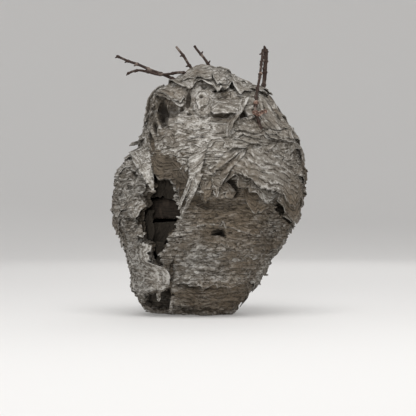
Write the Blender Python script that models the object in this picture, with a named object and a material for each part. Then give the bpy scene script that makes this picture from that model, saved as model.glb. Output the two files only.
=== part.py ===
"""A wasps' nest: a torn paper envelope round three combs, and the cut twigs that the paper grips.

Metres, +Z up. The front of the nest faces -Y. The origin is in the middle of the flat place that
the nest rests on. Lengths below are in millimetres, and MM turns them into metres.
"""

import math

import bmesh
import bpy
from mathutils import Vector, noise

MM = 0.001
GAP = 0.3                       # clearance between two pieces
BALL_SEGMENTS = 10
BALL_RINGS = 6
ROD_SIDES = 10

# ---------------------------------------------------------------- the egg-shaped body
CENTRE = Vector((5.5, 0.0, 138.6))
HALF_DEPTH = 101.0
# Distance from the centre to the outline seen from the front, every 15 degrees from +X upwards.
OUTLINE = (106, 108, 111.5, 114.5, 125, 129, 138.5, 131.5, 122, 103, 93.5, 101.5,
           106, 112, 114, 127, 151, 147, 146, 134, 113.5, 104.5, 101, 104.5)
INSET = 3.0                     # the relief stands this much proud of the body
LUMP_HEIGHT = 3.2
LUMP_SIZE = 38.0
BODY_SEGMENTS = 34
BODY_RINGS = 22
HOLLOW_SEGMENTS = 20
HOLLOW_RINGS = 12
OUTERMOST = 0.995               # nearest that a mark on the front may come to the outline, as a share

# ---------------------------------------------------------------- the hollow and the torn hole
WALL = 11.0
HOLLOW_TOP = 190.0
HOLLOW_FLOOR = 13.0
HOLE = ((-61, 164), (-53, 153), (-40, 147), (-31, 139), (-32, 128), (-28, 118), (-26, 107),
        (-33, 100), (-30, 95), (-40, 87), (-40, 78), (-47, 70), (-45, 51), (-53, 50), (-59, 57),
        (-58, 74), (-66, 79), (-70, 95), (-73, 111), (-65, 119), (-68, 128), (-61, 134),
        (-57, 141), (-63, 153))
FOOT_RECESS = ((-65, 21), (-52, 21), (-41, 25), (-36, 20), (-43, 10), (-50, 6), (-65, 7))
HOLE_REACH = (-140.0, -20.0)    # y of the cutter's two ends
FOOT_RECESS_REACH = (-70.0, -29.0)

# ---------------------------------------------------------------- the paper sheets on the front
# name: (x and z along the root, x and z along the free edge, how far that edge stands off)
FRONT_SHEETS = {
    "right_drape": (((34, 180), (52, 188), (74, 188), (94, 178), (104, 161)),
                    ((19, 140), (35, 152), (44, 136), (59, 125), (73, 123), (86, 130)), 12.0),
    "right_lobe": (((84, 172), (98, 166), (108, 152)),
                   ((79, 124), (90, 110), (98, 100), (104, 112), (108, 129)), 7.0),
    "drape_lining": (((36, 158), (52, 152), (72, 145)),
                     ((42, 132), (48, 118), (56, 111), (67, 115), (78, 119)), 5.0),
    "face_sheet": (((-58, 194), (-38, 207), (-16, 211), (3, 202)),
                   ((-61, 164), (-52, 151), (-37, 145), (-30, 130), (-26, 111)), 6.5),
    "centre_flap": (((-18, 187), (-8, 190), (4, 188)), ((-28, 116), (-23, 110), (-17, 118)), 10.0),
    "centre_tongue": (((-9, 167), (2, 170), (13, 166)), ((-6, 138), (-1, 119), (9, 136)), 8.0),
    "hanging_spike": (((4, 160), (12, 164), (21, 160)), ((9, 139), (12, 127), (16, 139)), 9.0),
    "left_flap": (((-84, 178), (-74, 184), (-60, 180)), ((-71, 143), (-63, 136), (-56, 132)), 7.0),
    "small_left_flap": (((-91, 128), (-83, 136), (-73, 132)),
                        ((-85, 112), (-77, 107), (-66, 119)), 7.0),
    "lower_left_sheet": (((-92, 82), (-90, 62), (-85, 44), (-80, 30)),
                         ((-58, 76), (-60, 58), (-45, 49), (-40, 36), (-48, 27), (-61, 23)), 7.5),
    "foot_strip": (((-75, 32), (-64, 33)), ((-73, 4), (-56, 4)), 3.5),
    "hem_band": (((-34, 50), (-6, 55), (22, 53), (50, 50)),
                 ((-35, 33), (-19, 33), (0, 29), (21, 29), (45, 35)), 5.0),
    "low_band": (((-30, 84), (0, 80), (34, 76), (66, 84)),
                 ((-32, 66), (-8, 61), (22, 62), (48, 58), (68, 68)), 4.5),
    "middle_band": (((-18, 122), (8, 112), (40, 104), (74, 104)),
                    ((-26, 98), (2, 95), (34, 88), (62, 84), (84, 92)), 4.5),
    "cap_sheet": (((-10, 268), (6, 273), (23, 272)),
                  ((-12, 251), (0, 256), (10, 253), (17, 248), (24, 251), (30, 257)), 8.0),
    "cap_right_sheet": (((25, 272), (38, 265), (50, 254)),
                        ((29, 254), (34, 247), (41, 241), (46, 244), (52, 242)), 7.5),
    "top_left_sheet": (((-38, 259), (-23, 265), (-11, 268)),
                       ((-46, 253), (-35, 251), (-22, 247), (-13, 250)), 7.0),
    "shoulder_sheet": (((-50, 252), (-34, 254), (-18, 247)),
                       ((-58, 236), (-41, 233), (-32, 230), (-22, 229)), 8.5),
    "left_lobe": (((-44, 246), (-50, 234), (-54, 218)),
                  ((-56, 248), (-65, 238), (-69, 226), (-67, 213)), 5.0),
    "brow_ledge": (((-14, 233), (10, 238), (36, 235)),
                   ((-18, 214), (-2, 215), (10, 220), (23, 219), (38, 216)), 8.0),
    "temple_ledge": (((34, 214), (50, 219), (64, 213)), ((34, 188), (45, 191), (60, 194)), 6.5),
    "pocket_lid": (((19, 197), (38, 201), (56, 194)), ((25, 177), (36, 181), (48, 181)), 7.0),
    "shoulder_flake_high": (((60, 247), (70, 242), (79, 233)),
                            ((61, 222), (74, 217), (88, 216)), 7.0),
    "shoulder_flake_low": (((68, 224), (81, 221), (92, 210)),
                           ((72, 196), (88, 192), (101, 188)), 7.0),
    "forehead_sheet": (((-52, 217), (-28, 223), (-6, 219)),
                       ((-56, 192), (-38, 196), (-21, 190), (-2, 194)), 6.0),
}
SHEET_THICKNESS = 2.6
SHEET_SINK = 3.2                # how deep the root of a sheet is sunk in the body
SHEET_FLARE = 1.3               # 1 stands off evenly, and more leaves the body later
SHEET_COLUMNS = 5
SHEET_ROWS = 3
SHEET_RAGGED = 0.09             # how far the free edge strays, as a share of the drop
SHEET_TEARS = 5.3               # how often it strays along the edge
SHEET_SEED_STEP = 1.7           # keeps the edges of two sheets unlike
LOWEST_EDGE = 1.2               # no sheet hangs lower than this above the resting plane
LOWEST_LINING = 0.72            # the same for the sheet's inner side

# Shingles round the sides and the back: longitude from the front towards +X, latitude, half
# width and drop in degrees, and how far the free edge stands off.
SHINGLES = (
    (78, 44, 20, 22, 5.5), (80, 8, 20, 20, 5.0), (76, -26, 18, 18, 4.5),
    (124, 52, 24, 24, 5.5), (126, 10, 24, 24, 5.5), (172, 34, 24, 24, 6.0),
    (176, -10, 26, 24, 5.5), (128, -30, 20, 16, 4.0), (222, 52, 24, 22, 5.5),
    (222, 8, 24, 24, 6.0), (262, 30, 20, 22, 5.0), (256, -20, 22, 20, 4.5),
)
# Across a shingle: place in half widths, height of the root in degrees, share of the drop.
SHINGLE_SHAPE = ((-2, -1, 0.75), (-1, 1, 1.0), (0, 3, 0.86), (1, 1, 1.08), (2, -1, 0.8))
SHINGLE_EDGE_SPREAD = 1.04      # width of the free edge against the root
NARROWEST_TURN = 0.35           # least cosine of the latitude used to widen a shingle

# ---------------------------------------------------------------- small marks in the envelope
KNOB = (-4, 237, 12.5, 5.0)     # x, z, radius, height
KNOB_HOLE = (2.6, 6.0)          # diameter, depth
KNOB_HOLE_SHIFT = Vector((0.8, 0.0, 0.5))
KNOB_HOLE_START = 1.0           # above the top of the knob
DIMPLE = (15, 89, 8.0, 4.5)     # x, z, radius, depth
DIMPLE_HEIGHT = 0.7             # half height of the dimple, in radii
DIMPLE_RAISE = 0.35             # how far the cutter's middle stands off, in radii

# ---------------------------------------------------------------- the combs inside
# name: (x of its middle, underside, top, radius, height that the pillars reach)
COMBS = {
    "top_comb": (7.0, 148.0, 172.0, 70.0, HOLLOW_TOP),
    "upper_comb": (3.0, 104.5, 130.0, 79.0, 148.0),
    "lower_comb": (-2.0, 72.0, 94.0, 60.0, 104.5),
}
COMB_POINTS = 32
COMB_LOBES = 8
COMB_LOBE_HEIGHT = 1.8
COMB_WANDER = 3.0               # how far the rim strays from round
COMB_BEVEL = 3.0
PILLAR_RADIUS = 3.2
PILLAR_RING = 0.52              # of the radius of the comb
PILLAR_COUNT = 3
PILLAR_TURN = 0.35              # where the first pillar stands, in steps between pillars
PILLAR_ROOT = 2.0               # how deep a pillar is sunk in its comb

# ---------------------------------------------------------------- the twigs
# name: (radius at the free end, radius in the paper, points from the free end inwards)
TWIGS = {
    "left_twig": (1.5, 2.1, ((-97, -8, 283), (-85, -11, 278), (-74, -13, 274), (-61, -17, 268),
                             (-46, -21, 262), (-33, -25, 256), (-22, -29, 250))),
    "left_side_twig": (1.4, 1.8, ((-84, -40, 261), (-77, -38, 264), (-70, -36, 265),
                                  (-60, -33, 263), (-50, -30, 261), (-40, -26, 262),
                                  (-31, -21, 264), (-22, -16, 264), (-14, -12, 259))),
    "top_left_twig": (1.5, 2.0, ((-32, 6, 295), (-25, 3, 286), (-19, 0, 276), (-14, -3, 268),
                                 (-9, -6, 259), (-6, -8, 250))),
    "top_twig": (1.5, 2.0, ((-12, 10, 296), (-7, 9, 289), (-1, 8, 282), (4, 7, 274),
                            (8, 7, 265), (11, 8, 255))),
    "right_twig": (1.6, 1.8, ((63, -16, 290), (62, -21, 277), (60, -30, 262), (57, -42, 246),
                              (55, -53, 235), (54, -62, 226), (54, -69, 217), (57, -72, 208),
                              (60, -70, 200))),
    "right_rear_twig": (2.8, 2.5, ((68, 24, 294), (68, 24, 284), (67, 23, 273), (66, 22, 260),
                                   (64, 21, 246), (60, 20, 232))),
}
TWIG_BEVEL = 2                  # gives a twig 8 sides
TWIG_STEPS = 1                  # straight pieces between two points of the path
SOCKET_WIDER = 0.42             # a socket's radius is this much more than its twig's
SOCKET_LONGER = 0.6
BUD = (65, 221, 7.0, 4.2, 1.6)  # x, z, half length, half width, half thickness
BUD_STANDOFF = 0.4

COLOURS = {
    "envelope": (0.19, 0.17, 0.14),
    "comb": (0.16, 0.09, 0.05),
    "twig": (0.05, 0.03, 0.025),
    "bud": (0.26, 0.11, 0.03),
}


def clear_scene():
    """Remove every object of the start-up scene."""
    for thing in list(bpy.data.objects):
        bpy.data.objects.remove(thing, do_unlink=True)


def new_collection(name):
    """Make a collection in the scene."""
    made = bpy.data.collections.new(name)
    bpy.context.scene.collection.children.link(made)
    return made


def new_material(name, colour):
    """Make a plain rough material."""
    material = bpy.data.materials.new(name)
    material.use_nodes = True
    shader = material.node_tree.nodes["Principled BSDF"]
    shader.inputs["Base Color"].default_value = (*colour, 1.0)
    shader.inputs["Roughness"].default_value = 0.9
    return material


def new_object(name, grown, collection, material=None):
    """Turn a bmesh in millimetres into an object in metres, its bent faces split into flat ones."""
    bmesh.ops.triangulate(grown, faces=[face for face in grown.faces if len(face.verts) == 4])
    bmesh.ops.scale(grown, vec=(MM, MM, MM), verts=grown.verts)
    bmesh.ops.recalc_face_normals(grown, faces=grown.faces)
    mesh = bpy.data.meshes.new(name)
    grown.to_mesh(mesh)
    grown.free()
    if material:
        mesh.materials.append(material)
    thing = bpy.data.objects.new(name, mesh)
    collection.objects.link(thing)
    return thing


# ---------------------------------------------------------------- the shape of the body
def outline_radius(angle):
    """Distance from the centre to the body's outline at an angle, smooth through OUTLINE."""
    place = (angle / math.tau) % 1.0 * len(OUTLINE)
    first = int(place)
    t = place - first
    a, b, c, d = (OUTLINE[(first + k - 1) % len(OUTLINE)] for k in range(4))
    smooth = 0.5 * (2 * b + (c - a) * t + (2 * a - 5 * b + 4 * c - d) * t ** 2
                    + (3 * b - a - 3 * c + d) * t ** 3)
    return smooth - INSET


def front_direction(x, z):
    """The direction from the centre that meets the front of the body at x and z."""
    across = x - CENTRE.x
    up = z - CENTRE.z
    angle = math.atan2(up, across)
    reach = min(math.hypot(across, up) / outline_radius(angle), OUTERMOST)
    return Vector((reach * math.cos(angle), -math.sqrt(1 - reach ** 2), reach * math.sin(angle)))


def turned_direction(longitude, latitude):
    """The direction at a longitude from the front towards +X, and a latitude, in degrees."""
    turn = math.radians(longitude)
    rise = math.radians(latitude)
    level = math.cos(rise)
    return Vector((math.sin(turn) * level, -math.cos(turn) * level, math.sin(rise)))


def surface(direction, inwards=0.0):
    """The point of the lumpy body in a direction, or of the hollow when it is shrunk inwards."""
    d = direction.normalized()
    radius = outline_radius(math.atan2(d.z, d.x)) - inwards
    point = CENTRE + Vector((radius * d.x, (HALF_DEPTH - inwards) * d.y, radius * d.z))
    if inwards:
        return point
    return point + d * LUMP_HEIGHT * noise.noise(point / LUMP_SIZE)


def surface_normal(direction):
    """The outward direction across the smooth body."""
    d = direction.normalized()
    radius = outline_radius(math.atan2(d.z, d.x))
    return Vector((d.x / radius, d.y / HALF_DEPTH, d.z / radius)).normalized()


def body_mesh(segments, rings, inwards=0.0):
    """A ball whose points are moved onto the body or onto the hollow."""
    grown = bmesh.new()
    bmesh.ops.create_uvsphere(grown, u_segments=segments, v_segments=rings, radius=1.0)
    for vert in grown.verts:
        vert.co = surface(vert.co, inwards)
    return grown


def cut_level(grown, height, keep_above):
    """Cut a closed mesh level at a height and close the cut with one flat face."""
    normal = (0, 0, -1) if keep_above else (0, 0, 1)
    everything = grown.verts[:] + grown.edges[:] + grown.faces[:]
    cut = bmesh.ops.bisect_plane(grown, geom=everything, dist=1e-5, plane_co=(0, 0, height),
                                 plane_no=normal, clear_outer=True)
    rim = [item for item in cut["geom_cut"] if isinstance(item, bmesh.types.BMEdge)]
    bmesh.ops.contextual_create(grown, geom=rim)


# ---------------------------------------------------------------- sheets of paper
def along(curve, t):
    """The direction at a fraction of the way along a list of directions."""
    place = t * (len(curve) - 1)
    first = min(int(place), len(curve) - 2)
    return curve[first].lerp(curve[first + 1], place - first)


def sheet(name, root, edge, lift, collection):
    """A slab of paper that leaves the body at its root and stands off it at its free edge."""
    grown = bmesh.new()
    bmesh.ops.create_grid(grown, x_segments=SHEET_COLUMNS, y_segments=SHEET_ROWS, size=0.5)
    made = bmesh.ops.extrude_face_region(grown, geom=grown.faces[:])
    lining = {item for item in made["geom"] if isinstance(item, bmesh.types.BMVert)}
    for vert in grown.verts:
        u = vert.co.x + 0.5
        v = vert.co.y + 0.5
        torn = noise.noise(Vector((u * SHEET_TEARS, len(name) * SHEET_SEED_STEP, lift)))
        reach = v * (1 + SHEET_RAGGED * torn * v)
        d = along(root, u).lerp(along(edge, u), reach).normalized()
        out = surface_normal(d)
        rise = -SHEET_SINK + (lift + SHEET_SINK) * v ** SHEET_FLARE
        vert.co = surface(d) + out * rise
        vert.co.z = max(vert.co.z, LOWEST_EDGE)
        if vert in lining:
            vert.co -= out * SHEET_THICKNESS
            vert.co.z = max(vert.co.z, LOWEST_LINING)
    return new_object(name, grown, collection)


def shingle_curves(longitude, latitude, half_width, drop):
    """The root and the free edge of a shingle on the side or the back."""
    step = half_width / 2 / max(math.cos(math.radians(latitude)), NARROWEST_TURN)
    root = [turned_direction(longitude + place * step, latitude + rise)
            for place, rise, _ in SHINGLE_SHAPE]
    edge = [turned_direction(longitude + place * step * SHINGLE_EDGE_SPREAD,
                             latitude - drop * fall)
            for place, _, fall in SHINGLE_SHAPE]
    return root, edge


# ---------------------------------------------------------------- cutters
def prism(name, outline, near, far, collection):
    """A prism with a drawn front outline, from y = near to y = far."""
    grown = bmesh.new()
    ring = [grown.verts.new((x, near, z)) for x, z in outline]
    face = grown.faces.new(ring)
    made = bmesh.ops.extrude_face_region(grown, geom=[face])
    moved = [item for item in made["geom"] if isinstance(item, bmesh.types.BMVert)]
    bmesh.ops.translate(grown, vec=(0, far - near, 0), verts=moved)
    return new_object(name, grown, collection)


def ball(name, centre, axes, toward, collection, material=None):
    """A ball stretched to three half sizes, its third axis turned toward a direction."""
    grown = bmesh.new()
    bmesh.ops.create_uvsphere(grown, u_segments=BALL_SEGMENTS, v_segments=BALL_RINGS, radius=1.0)
    bmesh.ops.scale(grown, vec=axes, verts=grown.verts)
    turn = toward.to_track_quat("Z", "Y").to_matrix()
    bmesh.ops.rotate(grown, cent=(0, 0, 0), matrix=turn, verts=grown.verts)
    bmesh.ops.translate(grown, vec=centre, verts=grown.verts)
    return new_object(name, grown, collection, material)


def rod(name, start, end, radius, collection):
    """A round rod between two points."""
    axis = end - start
    grown = bmesh.new()
    bmesh.ops.create_cone(grown, cap_ends=True, segments=ROD_SIDES, radius1=radius,
                          radius2=radius, depth=axis.length)
    turn = axis.to_track_quat("Z", "Y").to_matrix()
    bmesh.ops.rotate(grown, cent=(0, 0, 0), matrix=turn, verts=grown.verts)
    bmesh.ops.translate(grown, vec=(start + end) / 2, verts=grown.verts)
    return new_object(name, grown, collection)


# ---------------------------------------------------------------- Boolean steps
def boolean(target, operation, operand):
    """Add one exact Boolean step with an object or a collection."""
    step = target.modifiers.new(operation.lower(), "BOOLEAN")
    step.operation = operation
    step.solver = "EXACT"
    if isinstance(operand, bpy.types.Collection):
        step.operand_type = "COLLECTION"
        step.collection = operand
    else:
        step.object = operand


def mark_helpers(collection):
    """Keep helper solids out of the model."""
    for helper in collection.objects:
        helper.hide_render = True
        helper.display_type = "WIRE"


# ---------------------------------------------------------------- the pieces
def twig_mesh(points, radii, collection, name, material=None):
    """A tapering closed tube along a path of points."""
    curve = bpy.data.curves.new(name + "_path", "CURVE")
    curve.dimensions = "3D"
    curve.bevel_depth = MM
    curve.bevel_resolution = TWIG_BEVEL
    curve.use_fill_caps = True
    curve.resolution_u = TWIG_STEPS
    line = curve.splines.new("NURBS")
    line.points.add(len(points) - 1)
    line.use_endpoint_u = True
    line.order_u = 3
    for k, (knot, point) in enumerate(zip(line.points, points)):
        knot.co = (*(Vector(point) * MM), 1.0)
        share = k / (len(points) - 1)
        knot.radius = radii[0] + (radii[1] - radii[0]) * share
    path = bpy.data.objects.new(name + "_path", curve)
    collection.objects.link(path)
    bpy.context.view_layer.update()
    mesh = bpy.data.meshes.new_from_object(path)
    bpy.data.objects.remove(path, do_unlink=True)
    welded = bmesh.new()
    welded.from_mesh(mesh)
    bmesh.ops.remove_doubles(welded, verts=welded.verts, dist=1e-6)
    bmesh.ops.recalc_face_normals(welded, faces=welded.faces)
    welded.to_mesh(mesh)
    welded.free()
    mesh.name = name
    if material:
        mesh.materials.append(material)
    thing = bpy.data.objects.new(name, mesh)
    collection.objects.link(thing)
    return thing


def make_twigs(parts, sockets, material):
    """The twigs, and a socket a little wider than each of them."""
    for name, (thin, thick, points) in TWIGS.items():
        twig_mesh(points, (thin, thick), parts, name, material)
        inner = Vector(points[-1])
        beyond = inner + (inner - Vector(points[-2])).normalized() * SOCKET_LONGER
        outer = Vector(points[0])
        before = outer + (outer - Vector(points[1])).normalized() * SOCKET_LONGER
        longer = (before, *points[1:-1], beyond)
        wide = (thin + SOCKET_WIDER, thick + SOCKET_WIDER)
        twig_mesh(longer, wide, sockets, name + "_socket")


def make_bud(parts, sockets, material):
    """The dry bud scale that lies on the front, and the bed it leaves in the paper."""
    x, z, length, width, thickness = BUD
    d = front_direction(x, z)
    out = surface_normal(d)
    centre = surface(d) + out * (thickness + BUD_STANDOFF)
    ball("bud_scale", centre, (length, width, thickness), out, parts, material)
    wide = (length + GAP, width + GAP, thickness + GAP)
    ball("bud_bed", centre, wide, out, sockets)


def make_comb(name, parts, helpers, material):
    """A comb: a scalloped disc of cells hung from its own short pillars."""
    middle, bottom, top, radius, reach = COMBS[name]
    grown = bmesh.new()
    ring = []
    for k in range(COMB_POINTS):
        turn = math.tau * k / COMB_POINTS
        wave = COMB_LOBE_HEIGHT * math.cos(COMB_LOBES * turn)
        stray = COMB_WANDER * noise.noise(Vector((math.cos(turn), math.sin(turn), bottom)))
        wide = radius + wave + stray
        ring.append(grown.verts.new((middle + wide * math.cos(turn), wide * math.sin(turn),
                                     bottom)))
    face = grown.faces.new(ring)
    made = bmesh.ops.extrude_face_region(grown, geom=[face])
    moved = [item for item in made["geom"] if isinstance(item, bmesh.types.BMVert)]
    bmesh.ops.translate(grown, vec=(0, 0, top - bottom), verts=moved)
    rims = [e for e in grown.edges if abs(e.verts[0].co.z - e.verts[1].co.z) < 1e-6]
    bmesh.ops.bevel(grown, geom=rims, offset=COMB_BEVEL, segments=1, affect="EDGES",
                    clamp_overlap=True)
    comb = new_object(name, grown, parts, material)
    for k in range(PILLAR_COUNT):
        turn = math.tau * (k + PILLAR_TURN) / PILLAR_COUNT
        x = middle + radius * PILLAR_RING * math.cos(turn)
        y = radius * PILLAR_RING * math.sin(turn)
        pillar = rod(f"{name}_pillar_{k}", Vector((x, y, top - PILLAR_ROOT)),
                     Vector((x, y, reach - GAP)), PILLAR_RADIUS, helpers)
        boolean(comb, "UNION", pillar)


def make_envelope(parts, growths, hollows, sockets, material):
    """The envelope: the body, hollowed and torn open, with its sheets, knob and ledges."""
    body = body_mesh(BODY_SEGMENTS, BODY_RINGS)
    cut_level(body, 0.0, keep_above=True)
    envelope = new_object("envelope", body, parts, material)

    hollow = body_mesh(HOLLOW_SEGMENTS, HOLLOW_RINGS, WALL)
    cut_level(hollow, HOLLOW_TOP, keep_above=False)
    cut_level(hollow, HOLLOW_FLOOR, keep_above=True)
    boolean(envelope, "DIFFERENCE", new_object("hollow", hollow, hollows))
    boolean(envelope, "DIFFERENCE", prism("torn_hole", HOLE, *HOLE_REACH, hollows))
    boolean(envelope, "DIFFERENCE", prism("foot_recess", FOOT_RECESS, *FOOT_RECESS_REACH, hollows))

    for name, (root, edge, lift) in FRONT_SHEETS.items():
        sheet(name, [front_direction(*p) for p in root], [front_direction(*p) for p in edge],
              lift, growths)
    for k, (longitude, latitude, half_width, drop, lift) in enumerate(SHINGLES):
        root, edge = shingle_curves(longitude, latitude, half_width, drop)
        sheet(f"shingle_{k}", root, edge, lift, growths)
    x, z, radius, height = KNOB
    d = front_direction(x, z)
    ball("knob", surface(d), (radius, radius, height), surface_normal(d), growths)
    boolean(envelope, "UNION", growths)

    out = surface_normal(d)
    tip = surface(d) + out * (height + KNOB_HOLE_START) + KNOB_HOLE_SHIFT
    rod("knob_hole", tip - out * (KNOB_HOLE[1] + KNOB_HOLE_START), tip, KNOB_HOLE[0] / 2, sockets)
    x, z, radius, depth = DIMPLE
    d = front_direction(x, z)
    out = surface_normal(d)
    axes = (radius, radius * DIMPLE_HEIGHT, depth + radius * DIMPLE_RAISE)
    ball("dimple", surface(d) + out * radius * DIMPLE_RAISE, axes, out, sockets)
    for cutter in list(sockets.objects):
        boolean(envelope, "DIFFERENCE", cutter)


def main():
    """Build every piece."""
    clear_scene()
    parts = new_collection("paper_wasp_nest")
    helpers = new_collection("comb_pillars")
    growths = new_collection("paper_growths")
    hollows = new_collection("hollows")
    sockets = new_collection("sockets")
    paper = new_material("envelope", COLOURS["envelope"])
    comb_paper = new_material("comb", COLOURS["comb"])
    bark = new_material("twig", COLOURS["twig"])
    scale = new_material("bud", COLOURS["bud"])
    make_twigs(parts, sockets, bark)
    make_bud(parts, sockets, scale)
    make_envelope(parts, growths, hollows, sockets, paper)
    for name in COMBS:
        make_comb(name, parts, helpers, comb_paper)
    for collection in (helpers, growths, hollows, sockets):
        mark_helpers(collection)


if __name__ == "__main__":
    main()
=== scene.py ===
"""The looks of a wasps' nest: grey layered paper, brown combs in the torn hole, and the twigs."""

import math

import bmesh
import bpy
import numpy as np
from mathutils import Euler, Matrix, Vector, noise


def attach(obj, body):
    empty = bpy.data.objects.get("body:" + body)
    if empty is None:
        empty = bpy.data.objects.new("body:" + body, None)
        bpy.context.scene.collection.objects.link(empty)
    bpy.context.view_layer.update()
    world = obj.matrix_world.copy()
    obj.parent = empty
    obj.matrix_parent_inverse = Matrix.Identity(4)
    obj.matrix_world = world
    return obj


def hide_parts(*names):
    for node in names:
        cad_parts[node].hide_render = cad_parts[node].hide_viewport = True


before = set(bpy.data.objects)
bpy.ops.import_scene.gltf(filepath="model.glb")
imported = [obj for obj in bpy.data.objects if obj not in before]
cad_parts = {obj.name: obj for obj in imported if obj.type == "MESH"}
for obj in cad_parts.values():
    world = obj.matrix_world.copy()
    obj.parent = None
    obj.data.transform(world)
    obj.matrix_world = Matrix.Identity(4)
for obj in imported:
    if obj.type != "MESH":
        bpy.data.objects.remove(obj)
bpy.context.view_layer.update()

bl_info = {
    "name": "Paper Wasp Nest",
    "version": (1, 0, 0),
    "blender": (4, 5, 0),
    "location": "View3D > Sidebar > Nest",
    "description": "Builds a torn grey paper nest round its combs and twigs",
    "category": "Add Mesh",
}

MM = 0.001
# Turns the noise's cells, so that no flat side of theirs shows as a straight line.
CELL_TURN = np.array(Euler((0.7, 0.4, 0.5)).to_matrix())

# ------------------------------------------------------------------ the body, as in the part
CENTRE = np.array((5.5, 0.0, 138.6))
HALF_DEPTH = 101.0
OUTLINE = np.array((106, 108, 111.5, 114.5, 125, 129, 138.5, 131.5, 122, 103, 93.5, 101.5,
                    106, 112, 114, 127, 151, 147, 146, 134, 113.5, 104.5, 101, 104.5))
INSET = 3.0
LUMP_HEIGHT = 3.2
LUMP_SIZE = 38.0
HOLE = np.array(((-61, 164), (-53, 153), (-40, 147), (-31, 139), (-32, 128), (-28, 118),
                 (-26, 107), (-33, 100), (-30, 95), (-40, 87), (-40, 78), (-47, 70), (-45, 51),
                 (-53, 50), (-59, 57), (-58, 74), (-66, 79), (-70, 95), (-73, 111), (-65, 119),
                 (-68, 128), (-61, 134), (-57, 141), (-63, 153)), float)
FOOT_RECESS = np.array(((-67, 22), (-52, 23), (-41, 26), (-36, 20), (-38, 3), (-50, -2),
                        (-66, 0)), float)
FOOT_DEPTH = 15.0
DARK_DEPTH = 6.5            # how deep a hollow is whose painted shade is full
KNOB = (-2.2, 233.5, 15.0, 18.0, 6.5)   # x, z, half width, half height, how far it stands out
KNOB_PIT = (-4.0, 236.5, 2.1, 1.1)      # x, z, half width, half height
KNOB_PIT_DEPTH = 4.0
KNOB_RING = 3.4             # distance between the rings on the knob
KNOB_RING_HEIGHT = 0.9
KNOB_MIDDLE = 5.0           # how far from its middle the knob has no rings
CRUMPLE_HEIGHT = 1.5        # of the crumples that the whole surface has
BAND_HEIGHT = 3.2           # how far a pulp band stands out of the wall at its lower lip
SHEET_BAND = 5.0            # width of a pulp band on a sheet
LAYER_RISE = 1.4            # how far a sheet's second layer lies over its first
LOWEST_EDGE = 1.2           # how high over the floor the lowest edge of a sheet stays
LOWEST_WALL = 0.3           # the same for the wall
TORN_EDGE = 8.0             # how wide the strip round the hole is where the wall stands up
OUTERMOST = 0.997           # nearest that a place on the front may come to the outline, a share
EAVES = 1.5                 # how much more to the front than outwards sheets stand off
WALL_OVERLAP = 0.06         # how far the back wall reaches under the front one
WALL_SEAM = 0.25            # how high the front wall's two parts meet, as a direction
TORN_AWAY = 1.0             # how far the torn hole has worn past its outline
DEGREE = 1.85               # length of a degree on the body, for the shingles
BUD_RISE = 7.5              # how far the bud scale stands off

# ------------------------------------------------------------------ the camera
CAMERA_AIM = np.array((3.3, 116.6))     # x and z of the level camera
CAMERA_AWAY = 1906.7        # how far the camera stands from the nest's middle
PICTURE_WIDTH = 457.6       # what it sees of the plane through the nest's middle
SENSOR = 36.0               # the width of its sensor

# ------------------------------------------------------------------ the combs and the twigs
# name: (x of its middle, underside, top, radius)
COMBS = {
    "top_comb": (7.0, 148.0, 172.0, 70.0),
    "upper_comb": (3.0, 104.5, 130.0, 79.0),
    "lower_comb": (-2.0, 72.0, 94.0, 60.0),
}
PILLARS = {"top_comb": 190.0, "upper_comb": 148.0, "lower_comb": 104.5}     # how high they reach
PILLAR_RING = 0.52          # how far out they stand, as a share of the comb's radius
PILLAR_RADIUS = 3.0

# name: (radius at the free end, radius in the paper, points from the free end inwards)
TWIGS = {
    "left_twig": (1.5, 2.1, ((-97, -8, 283), (-85, -11, 278), (-74, -13, 274), (-61, -17, 268),
                             (-46, -21, 262), (-33, -25, 256), (-22, -29, 250))),
    "left_side_twig": (1.4, 1.8, ((-84, -40, 261), (-77, -38, 264), (-70, -36, 265),
                                  (-60, -33, 263), (-50, -30, 261), (-40, -26, 262),
                                  (-31, -21, 264), (-22, -16, 264), (-14, -12, 259))),
    "top_left_twig": (1.5, 2.0, ((-32, 6, 295), (-25, 3, 286), (-19, 0, 276), (-14, -3, 268),
                                 (-9, -6, 259), (-6, -8, 250))),
    "top_twig": (1.5, 2.0, ((-12, 10, 296), (-7, 9, 289), (-1, 8, 282), (4, 7, 274),
                            (8, 7, 265), (11, 8, 255))),
    "right_twig": (1.6, 1.8, ((63, -16, 290), (62, -21, 277), (60, -30, 262), (57, -42, 246),
                              (55, -53, 235), (54, -62, 226), (54, -69, 217), (57, -72, 208),
                              (60, -70, 200))),
    "right_rear_twig": (2.8, 2.5, ((68, 24, 294), (68, 24, 284), (67, 23, 273), (66, 22, 260),
                                   (64, 21, 246), (60, 20, 232))),
}
# The dry scale in its two halves: x and z of its middle, half length, half width, lean in degrees.
BUD_HALVES = ((63.0, 222.0, 5.6, 2.7, 18.0), (56.5, 220.8, 4.6, 2.6, -26.0))
BEADS = ((60.3, -29.5, 262.0, 2.2), (54.3, -60.4, 228.6, 2.9))     # x, y, z, radius
TWIG_SIDES = 12
TWIG_RING = 1.1             # distance between a twig's rings of points
TWIG_BUDDED = 0.62          # the share of a twig, from its free end, that has side buds
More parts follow.
